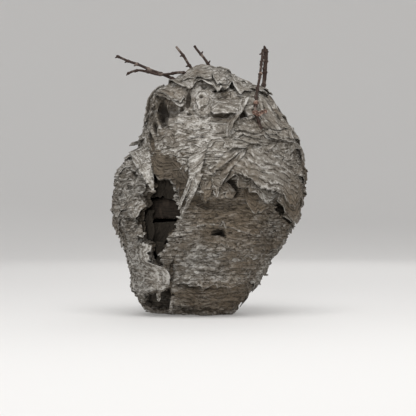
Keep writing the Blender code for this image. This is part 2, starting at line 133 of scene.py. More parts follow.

# ------------------------------------------------------------------ the sheets on the front
# name: (root, free edge, lift, extras). Points are x and z in millimetres, seen from the front. A
# dark extra is painted shade; negative values leave a sheet paler.
CAP_SHEETS = {
    "cap_sheet": (((-12, 267), (6, 273), (24, 273)),
                  ((-14, 254), (-5, 257), (1, 255), (9, 251), (14, 247), (18, 251), (24, 249),
                   (30, 257)), 9.5, {"layers": 2, "ragged": 1.6, "light": 0.2}),
    "crest_curl": (((8, 268), (20, 270), (32, 266)), ((13, 276), (22, 279), (30, 272)), 2.0,
                   {"ragged": 2.0, "curl": 2.0, "attached": 0.3}),
    "cap_right_sheet": (((26, 272), (40, 266), (54, 252)),
                        ((29, 256), (34, 249), (39, 244), (45, 246), (53, 245)), 8.5,
                        {"ragged": 1.2, "light": 0.2}),
    "top_left_sheet": (((-42, 261), (-26, 267), (-10, 269)),
                       ((-43, 258), (-35, 256), (-21, 248), (-14, 250), (-8, 258)), 7.5,
                       {"ragged": 1.0, "curl": 2.0, "light": 0.4}),
    "hood_sheet": (((-50, 254), (-35, 256), (-20, 248)),
                   ((-57, 243), (-50, 240), (-38, 236), (-27, 229), (-21, 233)), 9.5,
                   {"layers": 2, "ragged": 1.6, "curl": 1.5, "light": 0.3}),
    "left_rim": (((-41, 246), (-50, 237), (-56, 226), (-58, 214)),
                 ((-47, 257), (-59, 246), (-66, 237), (-69, 225), (-67, 213)), 6.0,
                 {"ragged": 1.6, "curl": 3.0, "attached": 0.3, "light": 0.3}),
    "inner_left_rim": (((-46, 244), (-50, 232), (-54, 218)),
                       ((-54, 244), (-58, 231), (-62, 216)), 8.0,
                       {"ragged": 1.5, "curl": 2.0, "attached": 0.5}),
    "brow_ledge": (((3, 231), (20, 238), (38, 232)),
                   ((6, 223), (12, 221), (20, 222), (28, 219), (37, 219)), 8.0,
                   {"ragged": 1.2, "light": 0.2}),
}
FACE_SHEETS = {
    "face_sheet": (((-60, 190), (-40, 199), (-20, 197), (0, 186)),
                   ((-61, 165), (-52, 151), (-37, 145), (-30, 130), (-26, 111)), 6.5,
                   {"ragged": 2.2, "brown": 0.85, "dark": 0.45, "light": -1.1, "curl": 1.5}),
    "temple_ledge": (((34, 213), (50, 217), (66, 209)),
                     ((32, 201), (40, 204), (48, 201), (62, 198)), 4.5,
                     {"ragged": 1.6, "light": 0.3, "waves": 0.9}),
    "middle_temple_ledge": (((32, 207), (48, 210), (66, 204)),
                            ((31, 195), (40, 198), (50, 196), (64, 192)), 4.0,
                            {"ragged": 1.6, "light": 0.2, "waves": 0.9}),
    "low_temple_ledge": (((28, 202), (46, 204), (66, 197)),
                         ((27, 188), (37, 191), (50, 189), (66, 185)), 4.0,
                         {"ragged": 1.6, "light": 0.2, "waves": 0.9}),
    "pocket_lid": (((19, 197), (38, 201), (56, 194)),
                   ((25, 179), (33, 183), (40, 182), (48, 184)), 8.0, {"ragged": 1.4}),
    "centre_tongue": (((-9, 167), (2, 170), (13, 166)), ((-6, 138), (-1, 121), (9, 136)), 8.0,
                      {"ragged": 2.5, "brown": 0.4, "dark": 0.15, "attached": 0.4}),
    "hanging_spike": (((4, 160), (12, 164), (21, 160)), ((9, 139), (12, 128), (16, 139)), 11.0,
                      {"ragged": 1.0, "attached": 0.3}),
}
FLAP_SHEETS = {
    "centre_flap": (((-20, 172), (-13, 178), (-5, 183), (4, 190)),
                    ((-17, 146), (-13, 147), (-10, 148), (-6, 150)), 8.5,
                    {"ragged": 0.7, "attached": 0.0, "light": 0.7, "brown": -0.9, "dark": -0.3,
                     "rib": 0.3, "sink": -2.5, "waves": 0.8}),
    "left_strip": (((-17, 152), (-22, 138), (-27, 126), (-30, 115)),
                   ((-13, 151), (-18, 138), (-23.5, 126), (-28.5, 115)), 10.0,
                   {"down": True, "ragged": 0.5, "attached": 0.0, "light": 1.2, "brown": -0.7,
                    "sink": -7.0}),
    "middle_strip": (((-13, 150), (-17, 138), (-21, 129)), ((-10.5, 150), (-15, 138), (-20, 129)),
                     10.5, {"down": True, "ragged": 0.4, "attached": 0.0, "light": 0.7,
                            "sink": -8.0}),
    "right_strip": (((-9, 156), (-14, 141), (-20, 125), (-27.5, 106)),
                    ((-2, 154), (-8, 140), (-15.5, 124), (-25.5, 106)), 11.0,
                    {"down": True, "ragged": 0.5, "attached": 0.0, "light": 1.2, "brown": -0.7,
                     "sink": -8.0}),
    "temple_fold": (((38, 243), (31, 231), (26, 218), (20, 208), (19, 196)),
                    ((50, 241), (43, 228), (37.5, 218), (31, 209), (28, 195)), 7.5,
                    {"ragged": 0.8, "curl": 2.0, "light": 0.6}),
    "upper_ridge": (((33, 193), (19, 183), (3, 169), (0, 158)),
                    ((43, 181), (30, 171), (13, 158), (10, 150)), 6.0,
                    {"ragged": 1.0, "attached": 0.5, "light": 0.4}),
    "lower_ridge": (((36, 188), (26, 176), (17, 165), (8, 151)),
                    ((47, 179), (35, 167), (26, 156), (17, 140)), 7.5,
                    {"ragged": 1.0, "attached": 0.5, "light": 0.5}),
}
DRAPE_SHEETS = {
    "drape_lining": (((36, 158), (52, 152), (72, 145)),
                     ((42, 132), (48, 119), (56, 111), (67, 115), (78, 119)), 5.0,
                     {"ragged": 1.6, "brown": 0.6}),
    "drape_under": (((28, 176), (52, 184), (74, 182), (92, 168), (103, 148)),
                    ((19.5, 142), (27, 150), (34.5, 152), (36, 140), (45, 136), (54, 132),
                     (62.5, 126.5), (70, 122), (78, 128), (90, 131)), 11.0,
                    {"ragged": 1.5, "light": 0.1, "rib": 1.6}),
    "drape_over": (((34, 184), (54, 190), (76, 188), (94, 176), (104, 160)),
                   ((27, 158), (38, 153), (50, 147), (63, 140), (76, 135), (89, 131)), 15.0,
                   {"ragged": 1.3, "light": 0.4, "rib": 1.9, "curl": 1.0, "swirl": 0.5}),
    "right_lobe": (((84, 172), (98, 166), (108, 152)),
                   ((79, 125), (90, 110), (99, 100), (104, 112), (108, 129)), 8.0,
                   {"layers": 2, "ragged": 1.6, "brown": -0.2}),
}
SHOULDER_SHEETS = {
    "inner_shoulder": (((50, 240), (54, 228), (58, 215), (64, 203)),
                       ((61, 247), (69, 233), (78, 217), (87, 203)), 5.0,
                       {"down": True, "ragged": 1.5, "rib": 2.4, "sink": 0.5, "swirl": 0.4}),
    "outer_shoulder": (((60, 250), (68, 238), (77, 222), (87, 207), (92, 193)),
                       ((68, 251), (79, 239), (88, 225), (99, 207), (104, 192)), 7.0,
                       {"down": True, "ragged": 1.5, "rib": 2.4, "sink": 1.0, "swirl": 0.4}),
    "low_shoulder": (((66, 214), (80, 212), (93, 204)), ((66, 196), (82, 191), (100, 189)), 6.0,
                     {"layers": 2, "ragged": 2.0}),
}
LEFT_SHEETS = {
    "left_flap": (((-79, 190), (-69, 192), (-60, 186), (-56, 172)),
                  ((-83, 176), (-74, 158), (-65, 146), (-56, 132)), 10.0,
                  {"ragged": 1.4, "attached": 0.1, "light": 1.3, "brown": -0.6, "dark": -0.2,
                   "waves": 1.0}),
    "stray_strip": (((-67, 196), (-66, 192), (-65, 188)), ((-84, 191), (-85, 188), (-84, 185)),
                    13.0, {"ragged": 0.6, "attached": 0.0, "light": 2.6, "dark": -0.5,
                           "curl": 2.0}),
    "small_left_flap": (((-91, 128), (-83, 136), (-73, 132)),
                        ((-85, 112), (-77, 107), (-64, 119)), 8.0,
                        {"ragged": 2.0, "light": 0.7}),
    "left_ledge": (((-92, 98), (-82, 102), (-70, 98)), ((-88, 86), (-78, 83), (-67, 85)), 6.0,
                   {"ragged": 2.0, "light": 0.4}),
    "lower_left_sheet": (((-92, 82), (-90, 62), (-85, 44), (-80, 30)),
                         ((-58, 76), (-60, 57), (-45, 49), (-40, 35), (-48, 27), (-63, 24)), 9.0,
                         {"ragged": 1.8, "attached": 0.3, "light": 1.4, "brown": -0.7,
                          "dark": -0.2}),
    "lower_left_curl": (((-56, 32), (-52, 33), (-48, 32)), ((-53, 18), (-51, 14), (-49, 18)), 8.0,
                        {"ragged": 1.0, "attached": 0.2, "light": 0.5, "curl": 2.0}),
    "foot_strip": (((-75, 8), (-67, 5), (-57, 4)), ((-72, 2), (-66, -1), (-56, 1)), 3.0,
                   {"ragged": 1.2, "attached": 0.2, "light": 1.0}),
    "hanging_strip": (((-37, 20), (-35, 20), (-33, 20)), ((-40, 2), (-39, 1.5), (-37, 2)), 7.0,
                      {"ragged": 0.5, "attached": 0.0, "light": 1.0}),
}
LOW_SHEETS = {
    "hem_band": (((-34, 50), (-6, 55), (22, 53), (50, 50)),
                 ((-35, 33), (-19, 33), (0, 29), (21, 29), (45, 35)), 6.0, {"ragged": 2.5}),
    "low_band": (((-30, 84), (0, 80), (34, 76), (66, 84)),
                 ((-32, 66), (-8, 61), (22, 62), (48, 58), (68, 68)), 2.4,
                 {"ragged": 3.0, "waves": 0.8, "sink": 1.5, "light": 0.3}),
    "middle_band": (((-18, 122), (8, 112), (40, 104), (74, 104)),
                    ((-26, 98), (0, 97), (16, 98), (30, 93), (62, 84), (84, 92)), 2.4,
                    {"ragged": 3.0, "waves": 0.8, "sink": 1.5}),
}
# Strips deep in the torn hole; their dark extra is painted shade.
INNER_STRIPS = {
    "inner_strip_top": (((-66, 152), (-64, 140), (-62, 127)), ((-27, 150), (-29, 139), (-31, 126)),
                        -17.0, {"down": True, "ragged": 2.0, "attached": 0.0, "brown": 0.7,
                                "sink": 19.0, "dark": 1.05, "waves": 3.0}),
    "inner_strip_middle": (((-62, 100), (-62, 90), (-60, 76)), ((-27, 102), (-31, 92), (-38, 78)),
                           -18.0, {"down": True, "ragged": 3.0, "attached": 0.0, "brown": 0.7,
                                   "sink": 20.0, "dark": 1.3, "waves": 5.0}),
    "inner_strip_high": (((-64, 114), (-66, 98), (-64, 80)), ((-57, 114), (-56, 98), (-57, 80)),
                         -13.0, {"down": True, "ragged": 2.5, "attached": 0.0, "brown": 0.7,
                                 "sink": 15.0, "dark": 1.05, "waves": 3.0}),
    "inner_strip_low": (((-55, 80), (-55, 66), (-54, 54)), ((-46, 79), (-46, 66), (-47, 53)),
                        -12.0, {"down": True, "ragged": 2.5, "attached": 0.0, "brown": 0.6,
                                "sink": 14.0, "dark": 0.95, "waves": 3.0}),
}
FRONT_GROUPS = {
    "cap_paper": CAP_SHEETS,
    "face_paper": FACE_SHEETS,
    "flap_paper": FLAP_SHEETS,
    "drape_paper": DRAPE_SHEETS,
    "shoulder_paper": SHOULDER_SHEETS,
    "left_paper": LEFT_SHEETS,
    "low_paper": LOW_SHEETS,
    "inner_paper": INNER_STRIPS,
}

# The paper pieces that carry flecks, and how much wider than usual the flecks are spread there.
FLECKED = {"lower_front_wall": 1.0, "upper_front_wall": 1.0, "back_wall": 1.7, "left_paper": 2.6,
           "low_paper": 1.1, "face_paper": 1.5, "side_and_back_paper": 1.8}

# Rows of shingles round the sides and the back, in degrees: latitude, first and last longitude
# from the front towards +X, and how many.
SHINGLE_ROWS = ((74, 0, 360, 6), (60, 70, 290, 6), (46, 62, 292, 8), (32, 66, 300, 9),
                (18, 66, 296, 9), (4, 68, 300, 10), (-10, 66, 296, 9), (-24, 66, 292, 8),
                (-38, 60, 282, 7), (-52, 54, 258, 6))
SHINGLE_DROP = 17           # how far a shingle hangs down, in degrees
SHINGLE_LIFT = 3.4
# Sunken places in the front wall, which get painted shade, and raised ones, which do not: x, z,
# half width, half height, lean in degrees, height.
RELIEF = (
    (-47, 223, 7, 16, 10, -13.0), (-36, 223, 8, 9, 10, -5.0), (-55.5, 206, 3, 9, 12, -8.0),
    (-47.5, 212, 2.6, 9, 8, -6.0),
    (-60, 192, 3, 12, 14, -6.0), (-18.5, 236, 3.2, 10, -8, -6.0), (20, 239, 7, 4, 0, -3.0),
    (9, 248, 14, 4, -4, -6.0), (30, 252, 3, 4, 20, -5.0), (26, 229, 5, 2.2, 0, -3.0),
    (22, 218.5, 14, 2.6, -2, -4.5), (43, 214, 5, 11, 20, -8.0), (54, 211, 2.5, 6, 10, -5.0),
    (-63, 176, 3.5, 13, 10, -9.0),
    (37, 177, 12, 4.5, 22, -7.0), (-18, 220.5, 3, 2.4, 0, -4.0), (-25.5, 225, 3.2, 2.2, 20, -4.0),
    (-42, 205, 3, 2.4, 0, -4.0), (-3, 195, 3, 2.2, 0, -3.5), (-29, 216, 13, 8, -8, 3.5),
    (-11, 206, 15, 9, 8, 3.5), (-45, 199, 10, 8, 10, 3.0), (12, 204, 12, 10, 0, 2.0),
    (20, 119, 30, 8, -3, -3.5), (-4, 122, 12, 10, 0, -4.0), (29, 138, 10, 12, 0, -8.0),
    (87, 112, 6, 17, 40, -9.0), (100, 98, 5.5, 18, -25, -9.0), (14.5, 88.5, 10, 6.5, 0, -7.0),
    (42, 92, 4, 1.8, 0, -2.5), (52, 92, 4, 1.8, 0, -2.5), (73, 71, 4, 4, 0, -3.0),
    (18, 84.5, 7, 5, 15, -6.0), (-47, 14, 14, 9, 0, -6.5),
    (-8, 30, 27, 3, -2, -4.0), (-12, 4, 19, 4, 0, -4.0), (-38, 40, 3.5, 22, -8, -6.0),
    (-20, 82, 14, 12, 0, 2.0), (30, 66, 18, 9, 0, 2.0), (-82, 166, 3, 13, 18, -6.0),
    (-73, 148, 3, 11, 32, -7.0), (-66, 104, 3, 8, 10, -5.0), (-76, 82, 9, 3, 0, -5.0),
    (-88, 120, 2.5, 6, 15, -5.0), (-80, 104, 7, 2.4, -10, -5.0), (-72, 128, 3, 5, -20, -5.0),
)
# Pale, brown and darkened places: x, z, half width, half height, how much paler, how much browner.
# Pale and brown ones are the paper's own tone; negative paler values, in hollows, pockets, under
# the drape and ledges and on the lower right, are mostly painted shade.
TONES = (
    (-24, 213, 34, 16, 0.45, -0.25), (-2, 234, 18, 14, 0.1, 0.0), (-82, 150, 22, 55, 0.5, -0.3),
    (-70, 55, 24, 32, 0.8, -0.6), (78, 215, 34, 40, -0.15, 0.1), (20, 50, 75, 30, 0.2, -0.1),
    (100, 140, 16, 34, -0.4, 0.25),
    (-7, 62, 12, 7, 0.5, 0.0), (15, 66, 12, 6, 0.4, 0.0), (20, 118, 50, 20, -0.4, 0.25),
    (22, 240, 10, 7, -0.4, 0.4), (22, 216, 16, 5, -0.4, 0.4), (90, 118, 20, 20, -0.2, 0.1),
    (40, 85, 46, 22, 0.0, 0.1), (62, 158, 42, 28, -0.3, 0.05), (46, 202, 18, 16, -0.6, 0.15),
    (10, 264, 44, 14, -1.1, 0.1), (-54, 238, 18, 26, -0.6, 0.05), (100, 120, 22, 30, -0.2, 0.1),
    (-10, 112, 14, 22, -0.3, 0.1), (74, 92, 26, 22, -0.3, 0.15), (4, 44, 34, 12, 0.2, -0.1),
    (15, 20, 60, 16, 0.0, 0.5), (16, 173, 15, 20, -1.1, 0.15), (26, 128, 11, 10, -0.7, 0.1),
    (58, 102, 16, 12, 0.6, 0.0), (-18, 240, 8, 9, 0.5, 0.0), (36, 42, 26, 12, -0.6, 0.0),
    (32, 212, 12, 16, -0.6, 0.1), (-12, 246, 12, 10, 0.3, 0.0),
)
# Small torn scraps: middle x and z, half width and height of their zone, how many, and the lift.
SCRAP_ZONES = ((10, 262, 40, 12, 9, 2.4), (88, 190, 18, 46, 10, 2.2), (-86, 130, 16, 62, 16, 2.6),
               (-72, 60, 20, 36, 6, 2.2), (22, 80, 70, 60, 8, 1.2))


# ------------------------------------------------------------------ arrays of numbers
def unit(vectors):
    """The same directions, one long."""
    return vectors / np.linalg.norm(vectors, axis=1, keepdims=True)


def smooth(low, high, values):
    """0 below low, 1 above high, and smooth between."""
    t = np.clip((values - low) / (high - low), 0, 1)
    return t * t * (3 - 2 * t)


def with_third(first, second, third):
    """Points with two coordinates of their own and the same third one."""
    return np.column_stack((first, second, np.full(len(first), third)))


def chance(x, y, z, seed):
    """A repeatable number from 0 to 1 for each whole place."""
    n = (x * 374761393 + y * 668265263 + z * 1440662683 + seed * 974634777) & 0xFFFFFFFF
    n = ((n ^ (n >> 13)) * 1274126177) & 0xFFFFFFFF
    return ((n ^ (n >> 16)) & 0xFFFFFF) / 0xFFFFFF


def cloud(points, size, seed):
    """Smooth noise from -1 to 1 that changes over about one size."""
    spot = points / np.asarray(size, float) @ CELL_TURN
    cell = np.floor(spot).astype(np.int64)
    t = spot - cell
    t = t * t * (3 - 2 * t)
    total = np.zeros(len(points))
    for corner in range(8):
        side = (corner & 1, corner >> 1 & 1, corner >> 2)
        weight = np.prod([np.abs(1 - side[k] - t[:, k]) for k in range(3)], axis=0)
        total += weight * chance(*(cell[:, k] + side[k] for k in range(3)), seed)
    return total * 2 - 1


def fractal(points, size, octaves, seed, gain=0.5):
    """Noise with finer and finer noise on it; gain is the share that each finer noise keeps."""
    size = np.asarray(size, float)
    total = np.zeros(len(points))
    for k in range(octaves):
        total += cloud(points, size / 2 ** k, seed + k) * gain ** k
    return total


def through(a, b, c, d, t):
    """A smooth curve from b to c, at t from 0 to 1; a and d are the points beside them."""
    return 0.5 * (2 * b + (c - a) * t + (2 * a - 5 * b + 4 * c - d) * t ** 2
                  + (3 * b - a - 3 * c + d) * t ** 3)


def trace(points, t):
    """The places at fractions t along a smooth curve through the points."""
    knots = np.array(points, float)
    place = np.clip(t, 0, 1) * (len(knots) - 1)
    first = np.minimum(place.astype(int), len(knots) - 2)
    pad = np.vstack((2 * knots[0] - knots[1], knots, 2 * knots[-1] - knots[-2]))
    return through(*(pad[first + k] for k in range(4)), (place - first)[:, None])


def inside_depth(places, outline):
    """How far places lie outside a closed outline; it is negative inside."""
    nearest = np.full(len(places), np.inf)
    inside = np.zeros(len(places), bool)
    for a, b in zip(outline, np.roll(outline, -1, axis=0)):
        run = b - a
        t = np.clip(((places - a) @ run) / (run @ run), 0, 1)
        nearest = np.minimum(nearest, np.linalg.norm(places - a - t[:, None] * run, axis=1))
        crosses = (a[1] > places[:, 1]) != (b[1] > places[:, 1])
        if a[1] != b[1]:
            at = a[0] + (places[:, 1] - a[1]) * run[0] / run[1]
            inside ^= crosses & (places[:, 0] < at)
    return np.where(inside, -nearest, nearest)


# ------------------------------------------------------------------ the shape of the body
def outline_radius(angles):
    """Distance from the centre to the body's outline at the angles, smooth through OUTLINE."""
    place = (angles / math.tau) % 1.0 * len(OUTLINE)
    first = np.floor(place).astype(int)
    around = (OUTLINE[(first + k - 1) % len(OUTLINE)] for k in range(4))
    return through(*around, place - first) - INSET


def front(places):
    """Directions from the centre that meet the front of the body at x and z."""
    across = places[:, 0] - CENTRE[0]
    up = places[:, 1] - CENTRE[2]
    angle = np.arctan2(up, across)
    reach = np.minimum(np.hypot(across, up) / outline_radius(angle), OUTERMOST)
    return np.column_stack((reach * np.cos(angle), -np.sqrt(1 - reach ** 2),
                            reach * np.sin(angle)))


def turned(places):
    """Directions at a longitude from the front towards +X and a latitude, in degrees."""
    turn, rise = np.radians(places[:, 0]), np.radians(places[:, 1])
    return np.column_stack((np.sin(turn) * np.cos(rise), -np.cos(turn) * np.cos(rise),
                            np.sin(rise)))


def half_axes(directions):
    """The body's half width, half depth and half height, as they are in the directions."""
    radius = outline_radius(np.arctan2(directions[:, 2], directions[:, 0]))
    return np.column_stack((radius, np.full(len(radius), HALF_DEPTH), radius))


def outward(directions):
    """The outward direction across the smooth body."""
    return unit(directions / half_axes(directions))


def eaves(out, turned_forward):
    """Where sheets stand off to: between outwards and straight to the front."""
    return unit(out + np.outer(turned_forward, (0.0, -EAVES, 0.0)))


def stand_off(points, out, eave, rise):
    """Move points along the eave where they rise, and straight inwards where they sink."""
    return points + out * np.minimum(rise, 0)[:, None] + eave * np.maximum(rise, 0)[:, None]


def seen(points):
    """Where the camera sees points, as x and z in the plane through the nest's middle."""
    near = CAMERA_AWAY / (CAMERA_AWAY + points[:, 1])
    return CAMERA_AIM + (points[:, [0, 2]] - CAMERA_AIM) * near[:, None]


def laid_at(spot, place, rise):
    """Points that stand off by the rise; those on the front are seen at their x and z."""
    wanted = spot
    on_front = place is front
    for _ in range(3 if on_front else 1):
        d = place(spot)
        out = outward(d)
        points = stand_off(skin(d), out, eaves(out, np.full(len(out), float(on_front))), rise)
        spot = spot + wanted - seen(points)
    return points, out


def skin(directions):
    """Points of the lumpy body in the directions."""
    d = unit(directions)
    points = CENTRE + d * half_axes(d)
    lumps = np.array([noise.noise(Vector(p)) for p in points / LUMP_SIZE])
    crumple = CRUMPLE_HEIGHT * fractal(points, 22, 3, 11)
    return points + d * (LUMP_HEIGHT * lumps)[:, None] + outward(d) * crumple[:, None]


def away_from(flat, x, z, half_width, half_height, lean=0.0):
    """How far places are from the middle of an oval, where 1 is its edge; it leans by degrees."""
    cosine, sine = math.cos(math.radians(lean)), math.sin(math.radians(lean))
    across, up = flat[:, 0] - x, flat[:, 1] - z
    return np.hypot((across * cosine + up * sine) / half_width,
                    (up * cosine - across * sine) / half_height)


def tints(points, brown, light, rim, dark):
    """Four shares for each point of paper: brown, bleached paleness (lowered by painted shade in
    some hollows), a paler rim near a free edge (partly a painted highlight), and painted shade.
    """
    low_front = smooth(165, 100, points[:, 2]) * smooth(20, -60, points[:, 1])
    brown = brown + 0.2 + 0.3 * low_front + 0.42 * fractal(points, 34, 3, 31)
    light = light + 0.22 * smooth(165, 205, points[:, 2])
    # The dark share is painted shade, with random mottling from the noise.
    dark = dark + 0.25 * fractal(points, 27, 2, 35)
    facing = points[:, 1] < 30
    flat = seen(points)
    # Negative paler values paint shade; the rest is the paper's own tone.
    for x, z, half_width, half_height, paler, browner in TONES:
        share = smooth(1.25, 0.55, away_from(flat, x, z, half_width, half_height)
                       + 0.25 * cloud(points, 12, 37)) * facing
        light = light + paler * share
        brown = brown + browner * share
    return np.column_stack([np.broadcast_to(share, len(points))
                            for share in (brown, light, rim, dark)])


# ------------------------------------------------------------------ meshes
def grid(columns, rows, across=(0, 1), down=(0, 1)):
    """The two coordinates of a grid of points, row by row."""
    return (g.ravel() for g in np.meshgrid(np.linspace(*across, columns + 1),
                                           np.linspace(*down, rows + 1)))


def grid_faces(columns, rows):
    """The four-cornered faces of a grid of points that is stored row by row."""
    corner = np.arange(rows * (columns + 1)).reshape(rows, columns + 1)[:, :-1].ravel()
    return np.column_stack((corner, corner + 1, corner + columns + 2, corner + columns + 1))


def used_only(faces, *arrays):
    """Faces and values of their points, without the points that no face uses."""
    used, where = np.unique(faces, return_inverse=True)
    return where.reshape(faces.shape), *(array[used] for array in arrays)


def placed(name, data):
    """A new object in the scene."""
    piece = bpy.data.objects.new(name, data)
    bpy.context.scene.collection.objects.link(piece)
    return piece


def mesh_of(name, grown):
    """Turn a bmesh into a mesh."""
    mesh = bpy.data.meshes.new(name)
    grown.to_mesh(mesh)
    grown.free()
    return mesh


def cube_cage(cells):
    """The points and faces of a cube that is two wide, with so many cells along a side."""
    grown = bmesh.new()
    bmesh.ops.create_cube(grown, size=2.0)
    bmesh.ops.subdivide_edges(grown, edges=grown.edges[:], cuts=cells - 1, use_grid_fill=True)
    grown.verts.index_update()
    points = np.array([vert.co for vert in grown.verts])
    faces = np.array([[vert.index for vert in face.verts] for face in grown.faces])
    grown.free()
    return points, faces


def open_edge(faces):
    """The points on the open edges of a surface."""
    pairs = np.sort(np.vstack([faces[:, (k, (k + 1) % 4)] for k in range(4)]), axis=1)
    lines, uses = np.unique(pairs, axis=0, return_counts=True)
    return np.unique(lines[uses == 1])


class Stack:
    """Paper surfaces that are gathered into one mesh."""

    def __init__(self):
        self.points, self.faces, self.uvs, self.tints = [], [], [], []
        self.count = 0

    def add(self, points, faces, uvs, tints, out):
        """Add one surface; its faces are turned so that they look outwards."""
        a, b, c = (points[faces[:, k]] for k in (0, 1, 2))
        facing = np.einsum("ij,ij->i", np.cross(b - a, c - b), out[faces[:, 0]])
        if facing.sum() < 0:
            faces = faces[:, ::-1]
        self.points.append(points)
        self.faces.append(faces + self.count)
        self.uvs.append(uvs)
        self.tints.append(tints)
        self.count += len(points)

    def build(self, name, material, thickness):
        """One object in the scene, with a UV map along the pulp bands and a tint attribute."""
        points = np.vstack(self.points) * MM
        faces = np.vstack(self.faces)
        mesh = bpy.data.meshes.new(name)
        mesh.from_pydata(points.tolist(), [], faces.tolist())
        dress_mesh(mesh, np.vstack(self.uvs) * MM, np.vstack(self.tints))
        return finish_paper(name, mesh, material, thickness)


def dress_mesh(mesh, uvs, shares):
    """Give a mesh its UV map, which follows the pulp bands, and its four shares as a tint."""
    corners = np.empty(len(mesh.loops), np.int32)
    mesh.loops.foreach_get("vertex_index", corners)
    layer = mesh.uv_layers.new(name="pulp_bands")
    layer.data.foreach_set("uv", uvs[corners].astype(np.float32).ravel())
    tint = mesh.attributes.new("tint", "FLOAT_COLOR", "POINT")
    tint.data.foreach_set("color", np.clip(shares, 0, 1).astype(np.float32).ravel())


def finish_paper(name, mesh, material, thickness):
    """Make an object of a paper mesh and give it its thickness."""
    mesh.materials.append(material)
    mesh.shade_smooth()
    piece = placed(name, mesh)
    wall = piece.modifiers.new("paper_thickness", "SOLIDIFY")
    wall.thickness = thickness
    wall.offset = -1.0
    wall.use_even_offset = False
    return piece


def settle(piece, slot, *nodes):
    """Let a finished piece ride on the nest, and hide the model's parts that it stands for; the
    slot is not used.
    """
    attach(piece, "root")
    if nodes:
        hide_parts(*nodes)


# ------------------------------------------------------------------ paper
def band_rise(phase, width):
    """The height of the pulp bands, from 0 at a band's upper side to 1 at its lower lip."""
    share = (phase / width) % 1.0
    return share ** 2 * smooth(1.0, 0.93, share)


def leaf(stack, root, edge, lift, seed, place=front, step=1.6, sink=2.5, curl=0.0, ragged=2.0,
         waves=1.4, attached=0.7, down=False, brown=0.0, light=0.0, dark=0.0, rib=0.8, over=0.0,
         trim=1.0, swirl=1.0):
    """Add one sheet, held along v = 0 and free at v = 1, to a stack."""
    ends = np.array((0.0, 0.5, 1.0))
    if down:
        across = np.linalg.norm(trace(root, ends) - trace(edge, ends), axis=1).mean()
        length = np.abs(np.diff(trace(root, np.linspace(0, 1, 9)), axis=0)).sum() * 0.8
    else:
        across = np.linalg.norm(np.diff(trace(edge, np.linspace(0, 1, 17)), axis=0), axis=1).sum()
        length = np.linalg.norm(trace(root, ends) - trace(edge, ends), axis=1).mean()
    scale = 1.0 if place is front else DEGREE
    across, length = across * scale, length * scale
    columns = max(4, round(across / step))
    rows = max(4, round(length / step))
    u, v = grid(columns, rows)
    along = with_third(u * across, np.zeros(len(u)), seed * 7.3)
    torn = fractal(along, 13, 4, seed + 50, gain=0.65)
    torn -= 1.8 * smooth(0.3, 0.75, cloud(along, 4.6, seed + 51))
    reach = v * (trim + ragged * torn * v / max(length, 1.0))
    flat = with_third(u * across, v * length, seed * 3.1)
    wander = 0.8 * ragged * fractal(flat[:, [1, 0, 2]] * (1, 0.2, 1), 7, 3, seed + 60) / across
    side = u + wander * (2 * np.abs(u - 0.5)) ** 3
    if down:
        spot = (1 - side)[:, None] * trace(root, reach) + side[:, None] * trace(edge, reach)
    else:
        spot = (1 - reach)[:, None] * trace(root, side) + reach[:, None] * trace(edge, side)
    hold = 1 - attached * (1 - smooth(0.0, 0.16, np.minimum(u, 1 - u)))
    run = v * length if down else u * across
    laid = u * across if down else v * length
    strand = with_third(run, laid, seed * 2.3)
    phase = laid + 3.2 * fractal(strand, 20, 2, seed) + 2.0 * cloud(strand, (9, 6, 9), seed + 3)
    phase += 2.0 * swirl * fractal(strand, (14, 9, 9), 3, seed + 4, gain=0.7)
    rise = -sink + hold * (lift + sink) * v ** 1.3 + over * smooth(0, 0.25, v)
    rise += hold * v * waves * fractal(flat, (13, 24, 9), 2, seed + 5)
    rise += hold * v ** 3 * 0.6 * waves * fractal(flat, (5, 9, 9), 2, seed + 8)
    rise += hold * curl * smooth(0.7, 1.0, v)
    rise += rib * band_rise(phase, SHEET_BAND) * smooth(0.0, 0.2, v)
    rise += 0.4 * fractal(strand, (15, 4.6, 9), 2, seed + 9) * smooth(0.0, 0.2, v)
    points, out = laid_at(spot, place, rise)
    points[:, 2] = np.maximum(points[:, 2], LOWEST_EDGE)
    # The dark share is painted shade; the share near the free edge gives a paler rim, partly a
    # painted highlight, partly fresh torn fibre.
    tint = tints(points, brown, light, smooth(length - 2.5, length, v * length), dark)
    stack.add(points, grid_faces(columns, rows), np.column_stack((run, phase)), tint, out)


def sheet_with_layers(stack, root, edge, lift, extras, seed):
    """Add a sheet and the shorter sheets that lie on it."""
    extras = dict(extras)
    layers = extras.pop("layers", 1)
    ragged = extras.pop("ragged")
    for k in range(layers):
        leaf(stack, root, edge, lift, seed + 100 * k, over=LAYER_RISE * k, trim=1 - 0.24 * k,
             ragged=ragged * (1 + 0.9 * k), **extras)


# ------------------------------------------------------------------ the settings
def span(name, description, default):
    """A length in the panel."""
    return bpy.props.FloatProperty(name=name, description=description, default=default,
                                   unit="LENGTH")


def hue(name, description, default):
    """A colour in the panel."""
    return bpy.props.FloatVectorProperty(name=name, description=description, default=default,
                                         subtype="COLOR", min=0, max=1)


def whole(name, description, default):
    """A whole number in the panel."""
    return bpy.props.IntProperty(name=name, description=description, default=default, min=8)


